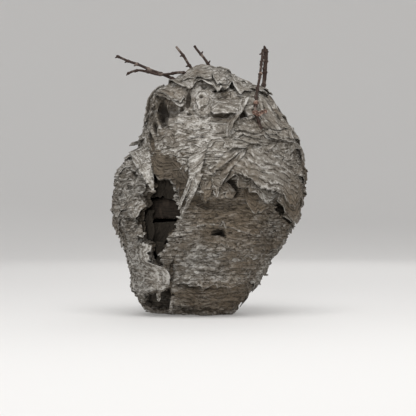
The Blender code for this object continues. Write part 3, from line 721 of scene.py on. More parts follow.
class NestPaper(bpy.types.PropertyGroup):
    """Sizes and colours of the paper."""
    band_width: span("Band width", "Width of one band of pulp", 0.005)
    thickness: span("Thickness", "Thickness of a sheet of paper", 0.0007)
    wall_thickness: span("Wall thickness", "Thickness of the outermost wall", 0.0014)
    fleck_spacing: span("Fleck spacing", "Least distance between two flecks", 0.0048)
    fleck_width: span("Fleck width", "Usual width of a fleck", 0.0068)
    fleck_height: span("Fleck height", "Usual height of a fleck", 0.0034)
    fleck_thickness: span("Fleck thickness", "Thickness of a fleck", 0.0005)
    front_cells: whole("Front cells", "Cells along a side of the front wall's cage, even", 160)
    back_cells: whole("Back cells", "Cells along a side of the back wall's cage, even", 72)
    light_colour: hue("Light paper", "The palest pulp", (0.50, 0.48, 0.445))
    grey_colour: hue("Grey paper", "The common pulp", (0.21, 0.19, 0.162))
    # The dark colour is the paper's own dark flecks and speckles, and painted shade in the band
    # seams and, darker still, in hollows.
    dark_colour: hue("Dark paper", "Pulp in the seams between bands", (0.055, 0.045, 0.034))
    brown_colour: hue("Brown paper", "Sheltered pulp that has not bleached", (0.15, 0.113, 0.075))


class NestCombs(bpy.types.PropertyGroup):
    """Sizes and colour of the combs."""
    cell_width: span("Cell width", "Distance from cell to cell", 0.0056)
    cell_depth: span("Cell depth", "Depth of a cell below the comb's roof", 0.012)
    # The comb's own brown, darkened much further as painted shade for the depth of the hole.
    colour: hue("Comb paper", "Colour of the comb", (0.032, 0.024, 0.018))


class NestTwigs(bpy.types.PropertyGroup):
    """Sizes and colours of the twigs and the bud scale."""
    knot_spacing: span("Knot spacing", "Distance between the knots of a twig", 0.013)
    bark_colour: hue("Bark", "Colour of the bark", (0.04, 0.023, 0.017))
    scale_colour: hue("Bud scale", "Colour of the dry bud scale", (0.2, 0.118, 0.088))


class NestStage(bpy.types.PropertyGroup):
    """The floor, the lights and the camera."""
    backdrop_height: span("Backdrop height", "Height of the wall that the floor curves up into",
                          3.0)
    floor_colour: hue("Floor", "Colour of the floor", (0.60, 0.592, 0.58))
    lens: bpy.props.FloatProperty(
        name="Lens", description="Focal length of the camera in millimetres", default=150.0)


# ------------------------------------------------------------------ node trees
class Wire:
    """A socket that can stand in a sum: every operator adds one Math node."""

    def __init__(self, recipe, socket):
        self.recipe = recipe
        self.socket = socket

    def maths(self, operation, *terms):
        """One Math node."""
        return self.recipe.node("ShaderNodeMath", {"operation": operation},
                                dict(enumerate(terms)))

    def __add__(self, other):
        return self.maths("ADD", self, other)

    def __sub__(self, other):
        return self.maths("SUBTRACT", self, other)

    def __rsub__(self, other):
        return self.maths("SUBTRACT", other, self)

    def __mul__(self, other):
        return self.maths("MULTIPLY", self, other)

    def __truediv__(self, other):
        return self.maths("DIVIDE", self, other)

    def also(self, name):
        """Another output of the same node."""
        return Wire(self.recipe, self.socket.node.outputs[name])

    def floor(self):
        """The whole number below."""
        return self.maths("FLOOR", self)

    def over(self, low, high):
        """0 below low, 1 above high, and smooth between."""
        return self.recipe.node("ShaderNodeMapRange", {"interpolation_type": "SMOOTHSTEP"},
                                {"Value": self, "From Min": low, "From Max": high})


class Recipe:
    """A node tree that is written as expressions."""

    def __init__(self, tree):
        self.tree = tree

    def node(self, kind, settings=None, values=None, out=0):
        """Add a node, set it, join or fill its sockets, and give one of its outputs."""
        made = self.tree.nodes.new(kind)
        for key, value in (settings or {}).items():
            setattr(made, key, value)
        for key, value in (values or {}).items():
            if isinstance(value, Wire):
                self.tree.links.new(value.socket, made.inputs[key])
            else:
                made.inputs[key].default_value = value
        return Wire(self, made.outputs[out]) if made.outputs else None

    def mix(self, low, high, share):
        """A colour between two colours."""
        low, high = (c if isinstance(c, Wire) else (*c, 1.0) for c in (low, high))
        return self.node("ShaderNodeMix", {"data_type": "RGBA"}, {0: share, 6: low, 7: high},
                         out=2)

    def vector_maths(self, operation, *terms):
        """One Vector Math node."""
        return self.node("ShaderNodeVectorMath", {"operation": operation},
                         dict(enumerate(terms)))

    def parts(self, vector):
        """The x, y and z of a vector."""
        x = self.node("ShaderNodeSeparateXYZ", {}, {0: vector})
        return x, x.also("Y"), x.also("Z")

    def vector(self, *parts):
        """A vector from its x, y and z."""
        return self.node("ShaderNodeCombineXYZ", {}, dict(enumerate(parts)))

    def grain(self, vector, scale, detail=3.0, roughness=0.6, distortion=0.0):
        """Noise from 0 to 1 on a vector that is scaled by axis."""
        scaled = self.vector_maths("MULTIPLY", vector, scale)
        return self.node("ShaderNodeTexNoise", {},
                         {"Vector": scaled, "Scale": 1.0, "Detail": detail,
                          "Roughness": roughness, "Distortion": distortion})

    def between(self, kind, low, high, seed):
        """A random FLOAT or FLOAT_VECTOR between two."""
        first = 2 if kind == "FLOAT" else 0
        return self.node("FunctionNodeRandomValue", {"data_type": kind},
                         {first: low, first + 1: high, "Seed": seed}, out=first // 2)

    def passed(self, kind, geometry, settings=None, **values):
        """Pass geometry through one node."""
        return self.node(kind, settings, {"Geometry": geometry, **values})

    def marked(self, geometry, kind, domain, name, value):
        """Store an attribute of geometry."""
        return self.passed("GeometryNodeStoreNamedAttribute", geometry,
                           {"data_type": kind, "domain": domain}, Name=name, Value=value)

    def moved(self, geometry, **how):
        """Move the points of geometry by an Offset or to a Position."""
        return self.passed("GeometryNodeSetPosition", geometry, **how)


def new_recipe(name):
    """A new material with an empty node tree."""
    material = bpy.data.materials.new(name)
    material.use_nodes = True
    material.node_tree.nodes.clear()
    return material, Recipe(material.node_tree)


def close_recipe(recipe, colour, roughness, bump_height, bump_distance):
    """End a material with a bump, a Principled shader and the output."""
    bump = recipe.node("ShaderNodeBump", {}, {"Height": bump_height, "Strength": 1.0,
                                              "Distance": bump_distance})
    shader = recipe.node("ShaderNodeBsdfPrincipled", {},
                         {"Base Color": colour, "Roughness": roughness, "Normal": bump,
                          "Specular IOR Level": 0.25})
    recipe.node("ShaderNodeOutputMaterial", {}, {"Surface": shader})


TONE_LENGTH = 0.016         # how far along a pulp band its tone stays much the same
PALE_FROM = 0.92            # the sum of shares from which paper is paler than grey
PAPER_BUMP = 0.0012         # how high the bumps of the paper are, and of the other materials
FINE_BUMP = 0.0004


def paper_material():
    """Grey wood-pulp paper in bands, with fibres and speckles; its darker seams are painted shade,
    its pale band lips painted highlights and its paler rims partly so.
    """
    look = bpy.context.scene.nest_paper
    material, r = new_recipe("nest_paper")
    uv = r.node("ShaderNodeUVMap", {"uv_map": "pulp_bands"})
    place = r.node("ShaderNodeTexCoord", out=3)
    tint = r.node("ShaderNodeAttribute", {"attribute_name": "tint"})
    shares = r.node("ShaderNodeSeparateColor", {}, {0: tint})
    # The tint's shares: brown, paleness, a paler rim near free edges (partly a painted highlight,
    # partly fresh torn fibre), and in its alpha painted shade.
    brownness, bleach_and_shade, rim = (shares.also(name) for name in ("Red", "Green", "Blue"))
    painted_shade = tint.also("Alpha")
    tone = r.node("ShaderNodeAttribute", {"attribute_name": "tone"}, out=2)

    across, down, _ = r.parts(uv)
    count = down / look.band_width
    band = count.floor()
    share = count - band
    cell = r.vector(across / TONE_LENGTH, band * 3.7, 0.0)
    band_tone = r.grain(cell, (1.0, 1.0, 1.0), detail=1.0)
    broken = r.grain(uv, (90.0, 260.0, 1.0), detail=2.0)
    # Painted shade in the seam under each band's lip, and a painted highlight on the lip.
    seam_shade = share.over(0.70, 0.95) * broken.over(0.36, 0.58) * (1.0 - bleach_and_shade * 0.8)
    lip_highlight = share.over(0.35, 0.62) * (1.0 - share.over(0.66, 0.8))

    fleck = r.grain(uv, (190.0, 400.0, 1.0), roughness=0.7, distortion=0.6)
    fibre = r.grain(uv, (300.0, 1900.0, 1.0), detail=2.0, distortion=0.4)
    speckle = r.grain(place, (430.0, 430.0, 620.0), roughness=0.75)
    blotch = r.grain(place, (60.0, 60.0, 95.0), detail=4.0, roughness=0.65)
    wide = r.grain(place, (17.0, 17.0, 17.0), detail=2.0)
    mottle = r.grain(place, (190.0, 190.0, 290.0), roughness=0.7)

    # Paler: the paper's own tones, flecks and pale patches, with the painted lip and rim
    # highlights.
    pale = (band_tone.over(0.3, 0.72) * 0.7 + fleck.over(0.42, 0.66) * 0.45
            + speckle.over(0.47, 0.68) * 0.4 + blotch.over(0.45, 0.68) * 0.4
            + mottle.over(0.42, 0.62) * 0.6
            + lip_highlight * 0.5 + bleach_and_shade * 0.4 + rim * 0.4 + tone * 0.75 - PALE_FROM)
    paper = r.mix(look.grey_colour, look.light_colour, pale.over(0.0, 1.1))
    brown = (brownness + wide.over(0.5, 0.7) * 0.2 + (1.0 - blotch.over(0.36, 0.5)) * 0.2)
    paper = r.mix(paper, look.brown_colour, (brown * (1.0 - rim * 0.5)).over(0.0, 1.1) * 0.85)
    # Darker: painted shade in the seams, and the paper's own dark flecks, mottling, speckles and
    # fibres.
    dark = (seam_shade * 0.85 + (1.0 - fleck.over(0.33, 0.47)) * 0.45
            + (1.0 - mottle.over(0.34, 0.47)) * 0.65 - tone * 0.15
            + (1.0 - speckle.over(0.34, 0.47)) * 0.45 + (1.0 - fibre.over(0.3, 0.45)) * 0.2)
    paper = r.mix(paper, look.dark_colour, dark.over(0.0, 1.15))
    # Painted shade in hollows, in the torn hole and under sheets.
    paper = r.mix(paper, tuple(c * 0.4 for c in look.dark_colour), painted_shade * 0.93)
    height = (lip_highlight * 0.5 + fibre * 0.4 + speckle * 0.7 + fleck * 0.7 + mottle * 0.9
              - seam_shade * 0.7)
    close_recipe(r, paper, 0.92, height, PAPER_BUMP)
    return material


def grained_material(name, base, groove, grain_scale, patch, patch_scale, patch_detail,
                     patch_range, patch_share, patch_height, roughness):
    """A colour with darker grooves, whose share of it is groove, and with patches."""
    material, r = new_recipe(name)
    place = r.node("ShaderNodeTexCoord", out=3)
    grain = r.grain(place, grain_scale)
    patches = r.grain(place, (patch_scale,) * 3, detail=patch_detail)
    shown = r.mix(tuple(c * groove for c in base), base, grain.over(0.35, 0.6))
    shown = r.mix(shown, patch, patches.over(*patch_range) * patch_share)
    close_recipe(r, shown, roughness, grain + patches * patch_height, FINE_BUMP)
    return material


def comb_material():
    """Brown comb paper in fine rings, with paler patches; its very dark colour is partly painted
    shade.
    """
    base = bpy.context.scene.nest_combs.colour
    return grained_material("comb_paper", base, 0.45, (120.0, 120.0, 900.0),
                            tuple(min(1.0, c * 2.1) for c in base), 70.0, 3.0, (0.5, 0.72), 0.6,
                            0.5, 0.9)


def bark_material():
    """Dark red-brown bark with grey patches."""
    return grained_material("twig_bark", bpy.context.scene.nest_twigs.bark_colour, 0.5,
                            (900.0, 900.0, 260.0), (0.19, 0.15, 0.125), 110.0, 3.0,
                            (0.53, 0.66), 0.75, 0.4, 0.7)


def scale_material():
    """Dry red-brown bud scale with pale patches."""
    return grained_material("bud_scale", bpy.context.scene.nest_twigs.scale_colour, 0.35,
                            (500.0, 500.0, 900.0), (0.34, 0.27, 0.22), 330.0, 2.0, (0.5, 0.62),
                            0.7, 0.0, 0.65)


def shared_material(name, make):
    """The material of that name, made once."""
    return bpy.data.materials.get(name) or make()


def settle_paper(stack, name, thickness, *nodes):
    """Build a stack of the nest's own paper, which is a piece of the envelope."""
    material = shared_material("nest_paper", paper_material)
    settle(stack.build(name, material, thickness), "envelope", *nodes)


# ------------------------------------------------------------------ the wall
# name: (setting for its cells, front -1 or back 1, lower -1 or upper 1 or all 0, how far inside)
WALL_PARTS = {
    "lower_front_wall": ("front_cells", -1, -1, 0.0),
    "upper_front_wall": ("front_cells", -1, 1, 0.0),
    "back_wall": ("back_cells", 1, 0, 0.3),
}
WALL_RADIUS = 95.0          # for the length of the pulp bands round the wall
# How far each inner layer lies below the wall, and how far it reaches into the hole.
INNER_LAYERS = ((3.6, 0.4), (7.0, 0.9), (10.5, 1.6))


def add_wall(stack, cells, facing, part, sunk):
    """Add a part (-1 lower, 1 upper, 0 all) of the front or the back (facing -1 or 1)."""
    look = bpy.context.scene.nest_paper
    cage, faces = cube_cage(cells)
    middle = cage[faces].mean(axis=1)[:, 1] * facing
    faces = faces[middle > -WALL_OVERLAP * (facing > 0)]
    d = unit(np.tan(cage * math.pi / 4))
    if part:
        height = d[faces].mean(axis=1)[:, 2]
        faces = faces[(height - WALL_SEAM) * part > 0]
    places = skin(d)
    flat = places[:, [0, 2]]
    torn = inside_depth(flat, HOLE) + tear(flat, 5)
    torn[d[:, 1] > 0] = 50.0
    faces = faces[torn[faces].mean(axis=1) > 0]
    rim = open_edge(faces)
    rim = rim[torn[rim] < 6.0]
    d[rim] = front(pull_to_tear(flat[rim], HOLE, 5))
    faces, d, torn = used_only(faces, d, torn)
    out = outward(d)
    points = skin(d)
    phase = -points[:, 2] + 6.5 * fractal(points, 48, 2, 21) + 2.4 * cloud(points, 15, 23)
    phase += 1.2 * cloud(points, (9, 9, 6), 24)
    low = smooth(185, 140, points[:, 2])
    phase += 5.0 * (1 - low) * fractal(points, (17, 17, 10), 3, 22, gain=0.6)
    strength = smooth(-0.8, 0.3, cloud(points, 30, 25)) * (0.12 + 0.88 * low)
    rise = BAND_HEIGHT * strength * band_rise(phase, look.band_width / MM)
    rise += (0.9 + 1.2 * low) * fractal(points, (17, 17, 4.6), 3, 27)
    rise += 0.6 * fractal(points, (6, 6, 2.6), 2, 29)
    rise += 2.0 * (1 - low) * cloud(points, 26, 26)
    rise += (1.2 + 1.5 * cloud(points, 12, 33)) * smooth(TORN_EDGE, 0.0, torn)
    dent, painted_shade, ring, on_knob = dents(points, d)
    phase += (ring - phase) * on_knob
    forward = eaves(out, smooth(0.0, -0.2, d[:, 1]))
    points = points + out * (rise - sunk)[:, None] + forward * dent[:, None]
    points[:, 2] = np.maximum(points[:, 2], LOWEST_WALL)
    turn = np.arctan2(d[:, 0], -d[:, 1])
    # Hollows get painted shade and some brown; the rim near the torn hole is paler, partly a
    # painted highlight, partly fresh torn fibre.
    tint = tints(points, 0.3 * painted_shade, 0.0, 0.7 * smooth(3.5, 0.0, torn), 0.95 * painted_shade)
    stack.add(points, faces, np.column_stack((turn * WALL_RADIUS, phase)), tint, out)


def tear(flat, seed):
    """How far a torn line wanders from the drawn one; it breaks along the pulp bands."""
    spots = with_third(*flat.T, 1.0)
    return (1.5 * fractal(spots, 10, 4, seed, gain=0.7)
            + 0.9 * cloud(spots, (22, 5.2, 9), seed + 5) - TORN_AWAY)


def pull_to_tear(flat, outline, seed):
    """Move places beside a torn outline onto it."""
    step = 0.5
    for _ in range(2):
        here = inside_depth(flat, outline) + tear(flat, seed)
        slope = np.column_stack([
            (inside_depth(flat + shift, outline) + tear(flat + shift, seed) - here) / step
            for shift in (np.array((step, 0.0)), np.array((0.0, step)))])
        steep = np.maximum((slope ** 2).sum(axis=1), 0.3)
        move = -here[:, None] * slope / steep[:, None]
        flat = flat + np.clip(move, -1.2, 1.2)
    return flat


def dents(points, d):
    """The relief, the recess at the foot and the round knob: their height, and the painted shade
    in their hollows and the knob's pit.
    """
    facing = d[:, 1] < 0
    flat = seen(points)
    rise, painted_shade = np.zeros(len(points)), np.zeros(len(points))
    for *oval, height in RELIEF:
        away = away_from(flat, *oval) + 0.2 * fractal(points, 9, 2, 41)
        if height > 0:
            rise += height * smooth(1.1, 0.2, away) * facing
        else:
            hollow = smooth(1.1, 0.6, away) * facing
            rise += height * hollow
            painted_shade = np.maximum(painted_shade, hollow * min(1.0, -height / DARK_DEPTH))
    recess = inside_depth(flat, FOOT_RECESS) + tear(flat, 9) * 0.7
    hollow = smooth(1.0, -2.0, recess) * facing
    rise -= FOOT_DEPTH * hollow
    painted_shade = np.maximum(painted_shade, hollow)
    x, z, radius, tallness, height = KNOB
    away = away_from(flat, x, z, 1.0, tallness / radius) + 2.6 * fractal(points, 10, 3, 43)
    away = np.maximum(away, KNOB_MIDDLE)
    on_knob = smooth(radius, radius * 0.75, away) * facing
    rise += height * smooth(radius, radius * 0.3, away) * facing
    rise += KNOB_RING_HEIGHT * band_rise(away, KNOB_RING) * on_knob
    pit = smooth(1.4, 0.5, away_from(flat, *KNOB_PIT)) * facing
    rise -= KNOB_PIT_DEPTH * pit
    return rise, np.maximum(painted_shade, 0.8 * pit), away - radius - z, on_knob


def inner_leaves(stack):
    """The next layers of the wall, whose torn edges show inside the hole."""
    columns, rows = 60, 110
    x, z = grid(columns, rows, (-92.0, -8.0), (186.0, 30.0))
    flat = np.column_stack((x, z))
    for layer, (depth, reach) in enumerate(INNER_LAYERS):
        d = front(flat)
        out = outward(d)
        seed = 200 + 10 * layer
        torn = inside_depth(flat, HOLE) + tear(flat, seed) + reach
        faces = grid_faces(columns, rows)
        faces = faces[torn[faces].mean(axis=1) > 0]
        points = skin(d)
        rise = -depth + 1.1 * fractal(points, 13, 3, seed + 2)
        phase = -z + 4.0 * fractal(points, 40, 2, seed + 3)
        rise += 0.5 * band_rise(phase, SHEET_BAND)
        points = points + out * rise[:, None]
        # Deeper layers get more painted shade; near the torn edge they get a paler rim, partly a
        # painted highlight.
        tint = tints(points, 0.3 + 0.2 * layer, 0.0, 0.3 * smooth(3.0, 0.0, torn),
                     0.3 + 0.15 * layer)
        faces, points, uvs, tint, out = used_only(faces, points, np.column_stack((x, phase)),
                                                  tint, out)
        stack.add(points, faces, uvs, tint, out)


class NEST_OT_wall(bpy.types.Operator):
    """Build the outer wall of the envelope with its torn hole"""
    bl_idname = "nest.wall"
    bl_label = "Envelope wall"

    def execute(self, context):
        """Build it."""
        look = context.scene.nest_paper
        for name, (cells, *where) in WALL_PARTS.items():
            wall = Stack()
            add_wall(wall, getattr(look, cells), *where)
            settle_paper(wall, name, look.wall_thickness, "envelope")
        inner = Stack()
        inner_leaves(inner)
        settle_paper(inner, "inner_wall_layers", look.thickness)
        return {"FINISHED"}


class NEST_OT_front_sheets(bpy.types.Operator):
    """Build the sheets, flaps and drapes on the front"""
    bl_idname = "nest.front_sheets"
    bl_label = "Front sheets"

    def execute(self, context):
        """Build them, one piece for each group."""
        for number, (group, sheets) in enumerate(FRONT_GROUPS.items()):
            stack = Stack()
            for k, sheet in enumerate(sheets.values()):
                sheet_with_layers(stack, *sheet, 1000 * (number + 1) + 7 * k)
            settle_paper(stack, group, context.scene.nest_paper.thickness)
        return {"FINISHED"}


def shingle(stack, longitude, latitude, width, seed):
    """Add one shingle at a longitude and latitude in degrees."""
    root, edge = [], []
    for k in range(-2, 3):
        drop = SHINGLE_DROP * (0.7 + 0.5 * float(chance(seed, k + 2, 3, 5)))
        root.append((longitude + k * width / 4, latitude + 3 - abs(k) * 2.2))
        edge.append((longitude + k * width / 3.8, latitude - drop * (1 - 0.12 * abs(k))))
    leaf(stack, root, edge, SHINGLE_LIFT, seed, place=turned, step=2.6, ragged=1.3, waves=1.6,
         attached=0.9)


class NEST_OT_shingles(bpy.types.Operator):
    """Build the overlapping shingles on the sides and the back"""
    bl_idname = "nest.shingles"
    bl_label = "Shingles"

    def execute(self, context):
        """Build them row by row, each a little out of place."""
        sides = Stack()
        seed = 5000
        for latitude, start, stop, count in SHINGLE_ROWS:
            pitch = (stop - start) / count
            for k in range(count):
                seed += 1
                right, up, wide = (float(chance(seed, draw, 1, 9)) for draw in (1, 2, 3))
                shingle(sides, start + pitch * (k + 0.5 + 0.4 * (right - 0.5)),
                        latitude + 11 * (up - 0.5), pitch * (1.15 + 0.5 * wide), seed)
        settle_paper(sides, "side_and_back_paper", context.scene.nest_paper.thickness)
        return {"FINISHED"}


def scrap(stack, x, z, lean, width, length, lift, seed):
    """Add one small torn scrap of paper on the front; it hangs down, turned by its lean."""
    fall = np.array((math.sin(lean), -math.cos(lean)))
    side = np.array((-fall[1], fall[0]))
    middle = np.array((x, z))
    root = [middle + side * width * s - fall * length * (0.5 - 0.3 * abs(s))
            for s in (-0.5, 0.0, 0.5)]
    edge = [middle + side * width * s * 1.1 + fall * length * (0.5 - 0.35 * abs(s))
            for s in (-0.5, -0.2, 0.1, 0.5)]
    leaf(stack, root, edge, lift, seed, step=1.7, ragged=2.2, waves=0.5 * lift, sink=1.5,
         attached=0.6)


class NEST_OT_scraps(bpy.types.Operator):
    """Build the small torn scraps that roughen the front"""
    bl_idname = "nest.scraps"
    bl_label = "Torn scraps"

    def execute(self, context):
        """Build them zone by zone."""
        stack = Stack()
        seed = 9000
        for x, z, half_width, half_height, count, lift in SCRAP_ZONES:
            for _ in range(count):
                seed += 1
                draw = [float(chance(seed, k, 7, 13)) for k in range(6)]
                turn, reach = draw[0] * math.tau, math.sqrt(draw[1])
                spot = np.array((x + half_width * reach * math.cos(turn),
                                 z + half_height * reach * math.sin(turn)))
                if inside_depth(spot[None], HOLE)[0] > 8.0:
                    scrap(stack, *spot, (draw[2] - 0.5) * 2.2, 11 + 15 * draw[3],
                          7 + 8 * draw[4], lift * (0.5 + draw[5]), seed)
        settle_paper(stack, "scraps", context.scene.nest_paper.thickness)
        return {"FINISHED"}


# ------------------------------------------------------------------ Geometry Nodes
def geometry_tree(name, **inputs):
    """The recipe of a new node group for a modifier, and the wires of its inputs."""
    tree = bpy.data.node_groups.new(name, "GeometryNodeTree")
    for label, kind in {"Geometry": "Geometry", **inputs}.items():
        tree.interface.new_socket(label.replace("_", " "), in_out="INPUT",
                                  socket_type="NodeSocket" + kind)
    tree.interface.new_socket("Geometry", in_out="OUTPUT", socket_type="NodeSocketGeometry")
    r = Recipe(tree)
    group = tree.nodes.new("NodeGroupInput")
    return r, *(Wire(r, group.outputs[k]) for k in range(len(inputs) + 1))


def run_tree(piece, tree, values):
    """Put a node group on a piece, set its inputs, and keep the result as a plain mesh."""
    modifier = piece.modifiers.new(tree.name, "NODES")
    modifier.node_group = tree
    sockets = {item.name: item.identifier for item in tree.interface.items_tree
               if item.in_out == "INPUT"}
    for label, value in values.items():
        modifier[sockets[label]] = value
    bpy.context.view_layer.update()
    graph = bpy.context.evaluated_depsgraph_get()
    mesh = bpy.data.meshes.new_from_object(piece.evaluated_get(graph))
    piece.modifiers.clear()
    old = piece.data
    piece.data = mesh
    bpy.data.meshes.remove(old)


def fleck_tree(material):
    """Lays small torn flecks of pulp, like roof tiles, on the surface that it is given."""
    r, surface, spacing, width, height, thickness, seed = geometry_tree(
        "pulp_flecks", Spacing="Float", Fleck_Width="Float", Fleck_Height="Float",
        Fleck_Thickness="Float", Seed="Int")
    place = r.node("GeometryNodeInputPosition")
    x, y, z = r.parts(place)
    share = 1.0 - z.over(0.14, 0.19) * 0.985
    spots = r.node("GeometryNodeDistributePointsOnFaces", {"distribute_method": "POISSON"},
                   {"Mesh": surface, "Distance Min": spacing, "Density Max": 90000.0,
                    "Density Factor": share, "Seed": seed})
    toned = r.marked(spots, "FLOAT", "POINT", "tone", r.between("FLOAT", -1.0, 1.0, seed))
    flat = r.node("FunctionNodeAlignRotationToVector", {"axis": "Z"},
                  {"Vector": spots.also("Normal")})
    level = r.node("FunctionNodeAlignRotationToVector", {"axis": "Y", "pivot_axis": "Z"},
                   {"Rotation": flat, "Vector": (0.0, 0.0, 1.0)})
    sway = r.node("FunctionNodeEulerToRotation", {}, {
        0: r.between("FLOAT_VECTOR", (-0.55, -0.15, -0.5), (-0.2, 0.15, 0.5), seed)})
    turn = r.node("FunctionNodeRotateRotation", {"rotation_space": "LOCAL"},
                  {"Rotation": level, "Rotate By": sway})
    size = r.between("FLOAT_VECTOR", r.vector(width * 0.6, height * 0.7, thickness),
                     r.vector(width * 1.5, height * 1.4, thickness), seed)
    block = r.node("GeometryNodeMeshCube", {}, {"Size": (1.0, 1.0, 1.0), "Vertices X": 5,
                                                "Vertices Y": 2, "Vertices Z": 2})
    bow = 1.0 - x * x * 4.0
    block = r.moved(block, Position=r.vector(x, y * (bow * 0.65 + 0.35), z + bow * 0.9))
    flecks = r.node("GeometryNodeInstanceOnPoints", {},
                    {"Points": toned, "Instance": block, "Rotation": turn, "Scale": size})
    flecks = r.passed("GeometryNodeRealizeInstances", flecks)
    rough = r.node("ShaderNodeTexNoise", {}, {"Vector": place, "Scale": 420.0, "Detail": 1.0},
                   out=1)
    rough = r.vector_maths("SUBTRACT", rough, (0.5, 0.5, 0.5))
    rough = r.node("ShaderNodeVectorMath", {"operation": "SCALE"}, {0: rough, "Scale": 0.003})
    flecks = r.moved(flecks, Offset=rough)
    lowest = LOWEST_WALL * MM
    flecks = r.moved(flecks, Position=r.vector(x, y, z.maths("MAXIMUM", z, lowest)))
    flecks = r.marked(flecks, "FLOAT2", "CORNER", "pulp_bands", r.vector(x, z * -1.0))
    flecks = r.passed("GeometryNodeSetShadeSmooth", flecks)
    flecks = r.passed("GeometryNodeSetMaterial", flecks, Material=material)
    r.node("NodeGroupOutput", {}, {0: flecks})
    return r.tree


class NEST_OT_flecks(bpy.types.Operator):
    """Cover the finished paper with small flecks of torn pulp"""
    bl_idname = "nest.flecks"
    bl_label = "Pulp flecks"

    def execute(self, context):
        """Lay them on each paper piece."""
        look = context.scene.nest_paper
        tree = fleck_tree(shared_material("nest_paper", paper_material))
        for seed, (name, spread) in enumerate(FLECKED.items()):
            carrier = placed(name + "_flecks", bpy.data.objects[name].data.copy())
            run_tree(carrier, tree, {"Spacing": look.fleck_spacing * spread,
                                     "Fleck Width": look.fleck_width,
                                     "Fleck Height": look.fleck_height,
                                     "Fleck Thickness": look.fleck_thickness, "Seed": seed})
            settle(carrier, "envelope")
        return {"FINISHED"}


def honeycomb_tree(material):
    """Repeats the cell that it is given over a round comb."""
    r, given, width, radius, middle, seed = geometry_tree(
        "honeycomb", Cell_Width="Float", Comb_Radius="Float", Middle="Vector", Seed="Int")
    row_step = width * math.sqrt(0.75)
    columns = (radius * 2.0 / width).floor() + 3.0
    rows = (radius * 2.0 / row_step).floor() + 3.0
    lattice = r.node("GeometryNodeMeshGrid", {}, {"Size X": (columns - 1.0) * width,
                                                  "Size Y": (rows - 1.0) * row_step,
                                                  "Vertices X": columns, "Vertices Y": rows})
    place = r.node("GeometryNodeInputPosition")
    row = (r.parts(place)[1] / row_step + 100.25).floor()
    odd = row.maths("MODULO", row, 2.0)
    lattice = r.moved(lattice, Offset=r.vector(odd * width * 0.5))
    away = r.vector_maths("LENGTH", place).also("Value")
    outside = r.node("FunctionNodeCompare", {"data_type": "FLOAT", "operation": "GREATER_THAN"},
                     {0: away, 1: radius - width * 0.45})
    lattice = r.passed("GeometryNodeDeleteGeometry", lattice, {"domain": "POINT"},
                       Selection=outside)
    cells = r.node("GeometryNodeInstanceOnPoints", {},
                   {"Points": lattice, "Instance": given,
                    "Scale": r.between("FLOAT", 0.93, 1.0, seed)})
    cells = r.passed("GeometryNodeRealizeInstances", cells)
    cells = r.passed("GeometryNodeTransform", cells, Translation=middle)
    cells = r.passed("GeometryNodeSetMaterial", cells, Material=material)
    r.node("NodeGroupOutput", {}, {0: cells})
    return r.tree


def cell_mesh(width, depth):
    """One six-sided cup with its mouth downwards."""
    grown = bmesh.new()
    outer = width / math.sqrt(3) * 0.985
    bmesh.ops.create_cone(grown, cap_ends=True, segments=6, radius1=outer, radius2=outer,
                          depth=depth)
    bmesh.ops.rotate(grown, cent=(0, 0, 0), matrix=Vector((0, 0, 1)).to_track_quat().to_matrix(),
                     verts=grown.verts)
    bmesh.ops.translate(grown, vec=(0, 0, depth / 2), verts=grown.verts)
    mouth = min(grown.faces, key=lambda face: face.calc_center_median().z)
    bmesh.ops.inset_region(grown, faces=[mouth], thickness=width * 0.07)
    pressed = bmesh.ops.extrude_face_region(grown, geom=[mouth])
    bmesh.ops.delete(grown, geom=[mouth], context="FACES_ONLY")
    inner = [item for item in pressed["geom"] if isinstance(item, bmesh.types.BMVert)]
    bmesh.ops.translate(grown, vec=(0, 0, depth * 0.85), verts=inner)
    bmesh.ops.recalc_face_normals(grown, faces=grown.faces)
    return mesh_of("cell", grown)


def comb_roof(name, cell_width):
    """The closed roof and rim of a comb, with a scallop for each cell at the rim."""
    middle, bottom, top, radius = COMBS[name]
    profile = np.array(((0.0, top - 1.5), (0.35, top - 0.5), (0.7, top - 0.6), (0.88, top - 1.6),
                        (0.95, top - 4.0), (0.99, top - 8.0), (1.0, bottom + 10.0),
                        (0.985, bottom + 4.0), (0.96, bottom + 1.2), (0.9, bottom + 1.2),
                        (0.86, bottom + 4.0)))
    scallops = round(math.tau * radius / cell_width)
    segments = scallops * 5
    steps = 30
    turn, rise = grid(segments, steps, (0, math.tau), (0.02, 1))
    shape = trace(profile, rise)
    wave = np.abs(np.sin(turn * scallops / 2)) * 0.7 * smooth(0.85, 1.0, shape[:, 0])
    wide = shape[:, 0] * (radius - 1.5) + wave
    ring = np.column_stack((np.cos(turn), np.sin(turn)))
    wide += 2.2 * cloud(np.column_stack((ring * 40, shape[:, 1])), 26, 61) * shape[:, 0]
    x, y = middle + wide * ring[:, 0], wide * ring[:, 1]
    points = np.column_stack((x, y, shape[:, 1]))
    points[:, 2] += 0.8 * fractal(points, 18, 2, 63) * smooth(1.0, 0.8, shape[:, 0])
    points[:, 2] += 2.0 * cloud(points * (1, 1, 0), 16, 67) * smooth(0.7, 1.0, shape[:, 0])
    grown = bmesh.new()
    verts = [grown.verts.new(point) for point in points * MM]
    for a, b, c, d in grid_faces(segments, steps):
        grown.faces.new((verts[a], verts[b], verts[c], verts[d]))
    bmesh.ops.remove_doubles(grown, verts=grown.verts, dist=1e-6)
    hole = [edge for edge in grown.edges if edge.is_boundary
            and edge.verts[0].co.z > (top - 6) * MM]
    bmesh.ops.contextual_create(grown, geom=hole)
    bmesh.ops.recalc_face_normals(grown, faces=grown.faces)
    return mesh_of(name + "_roof", grown)


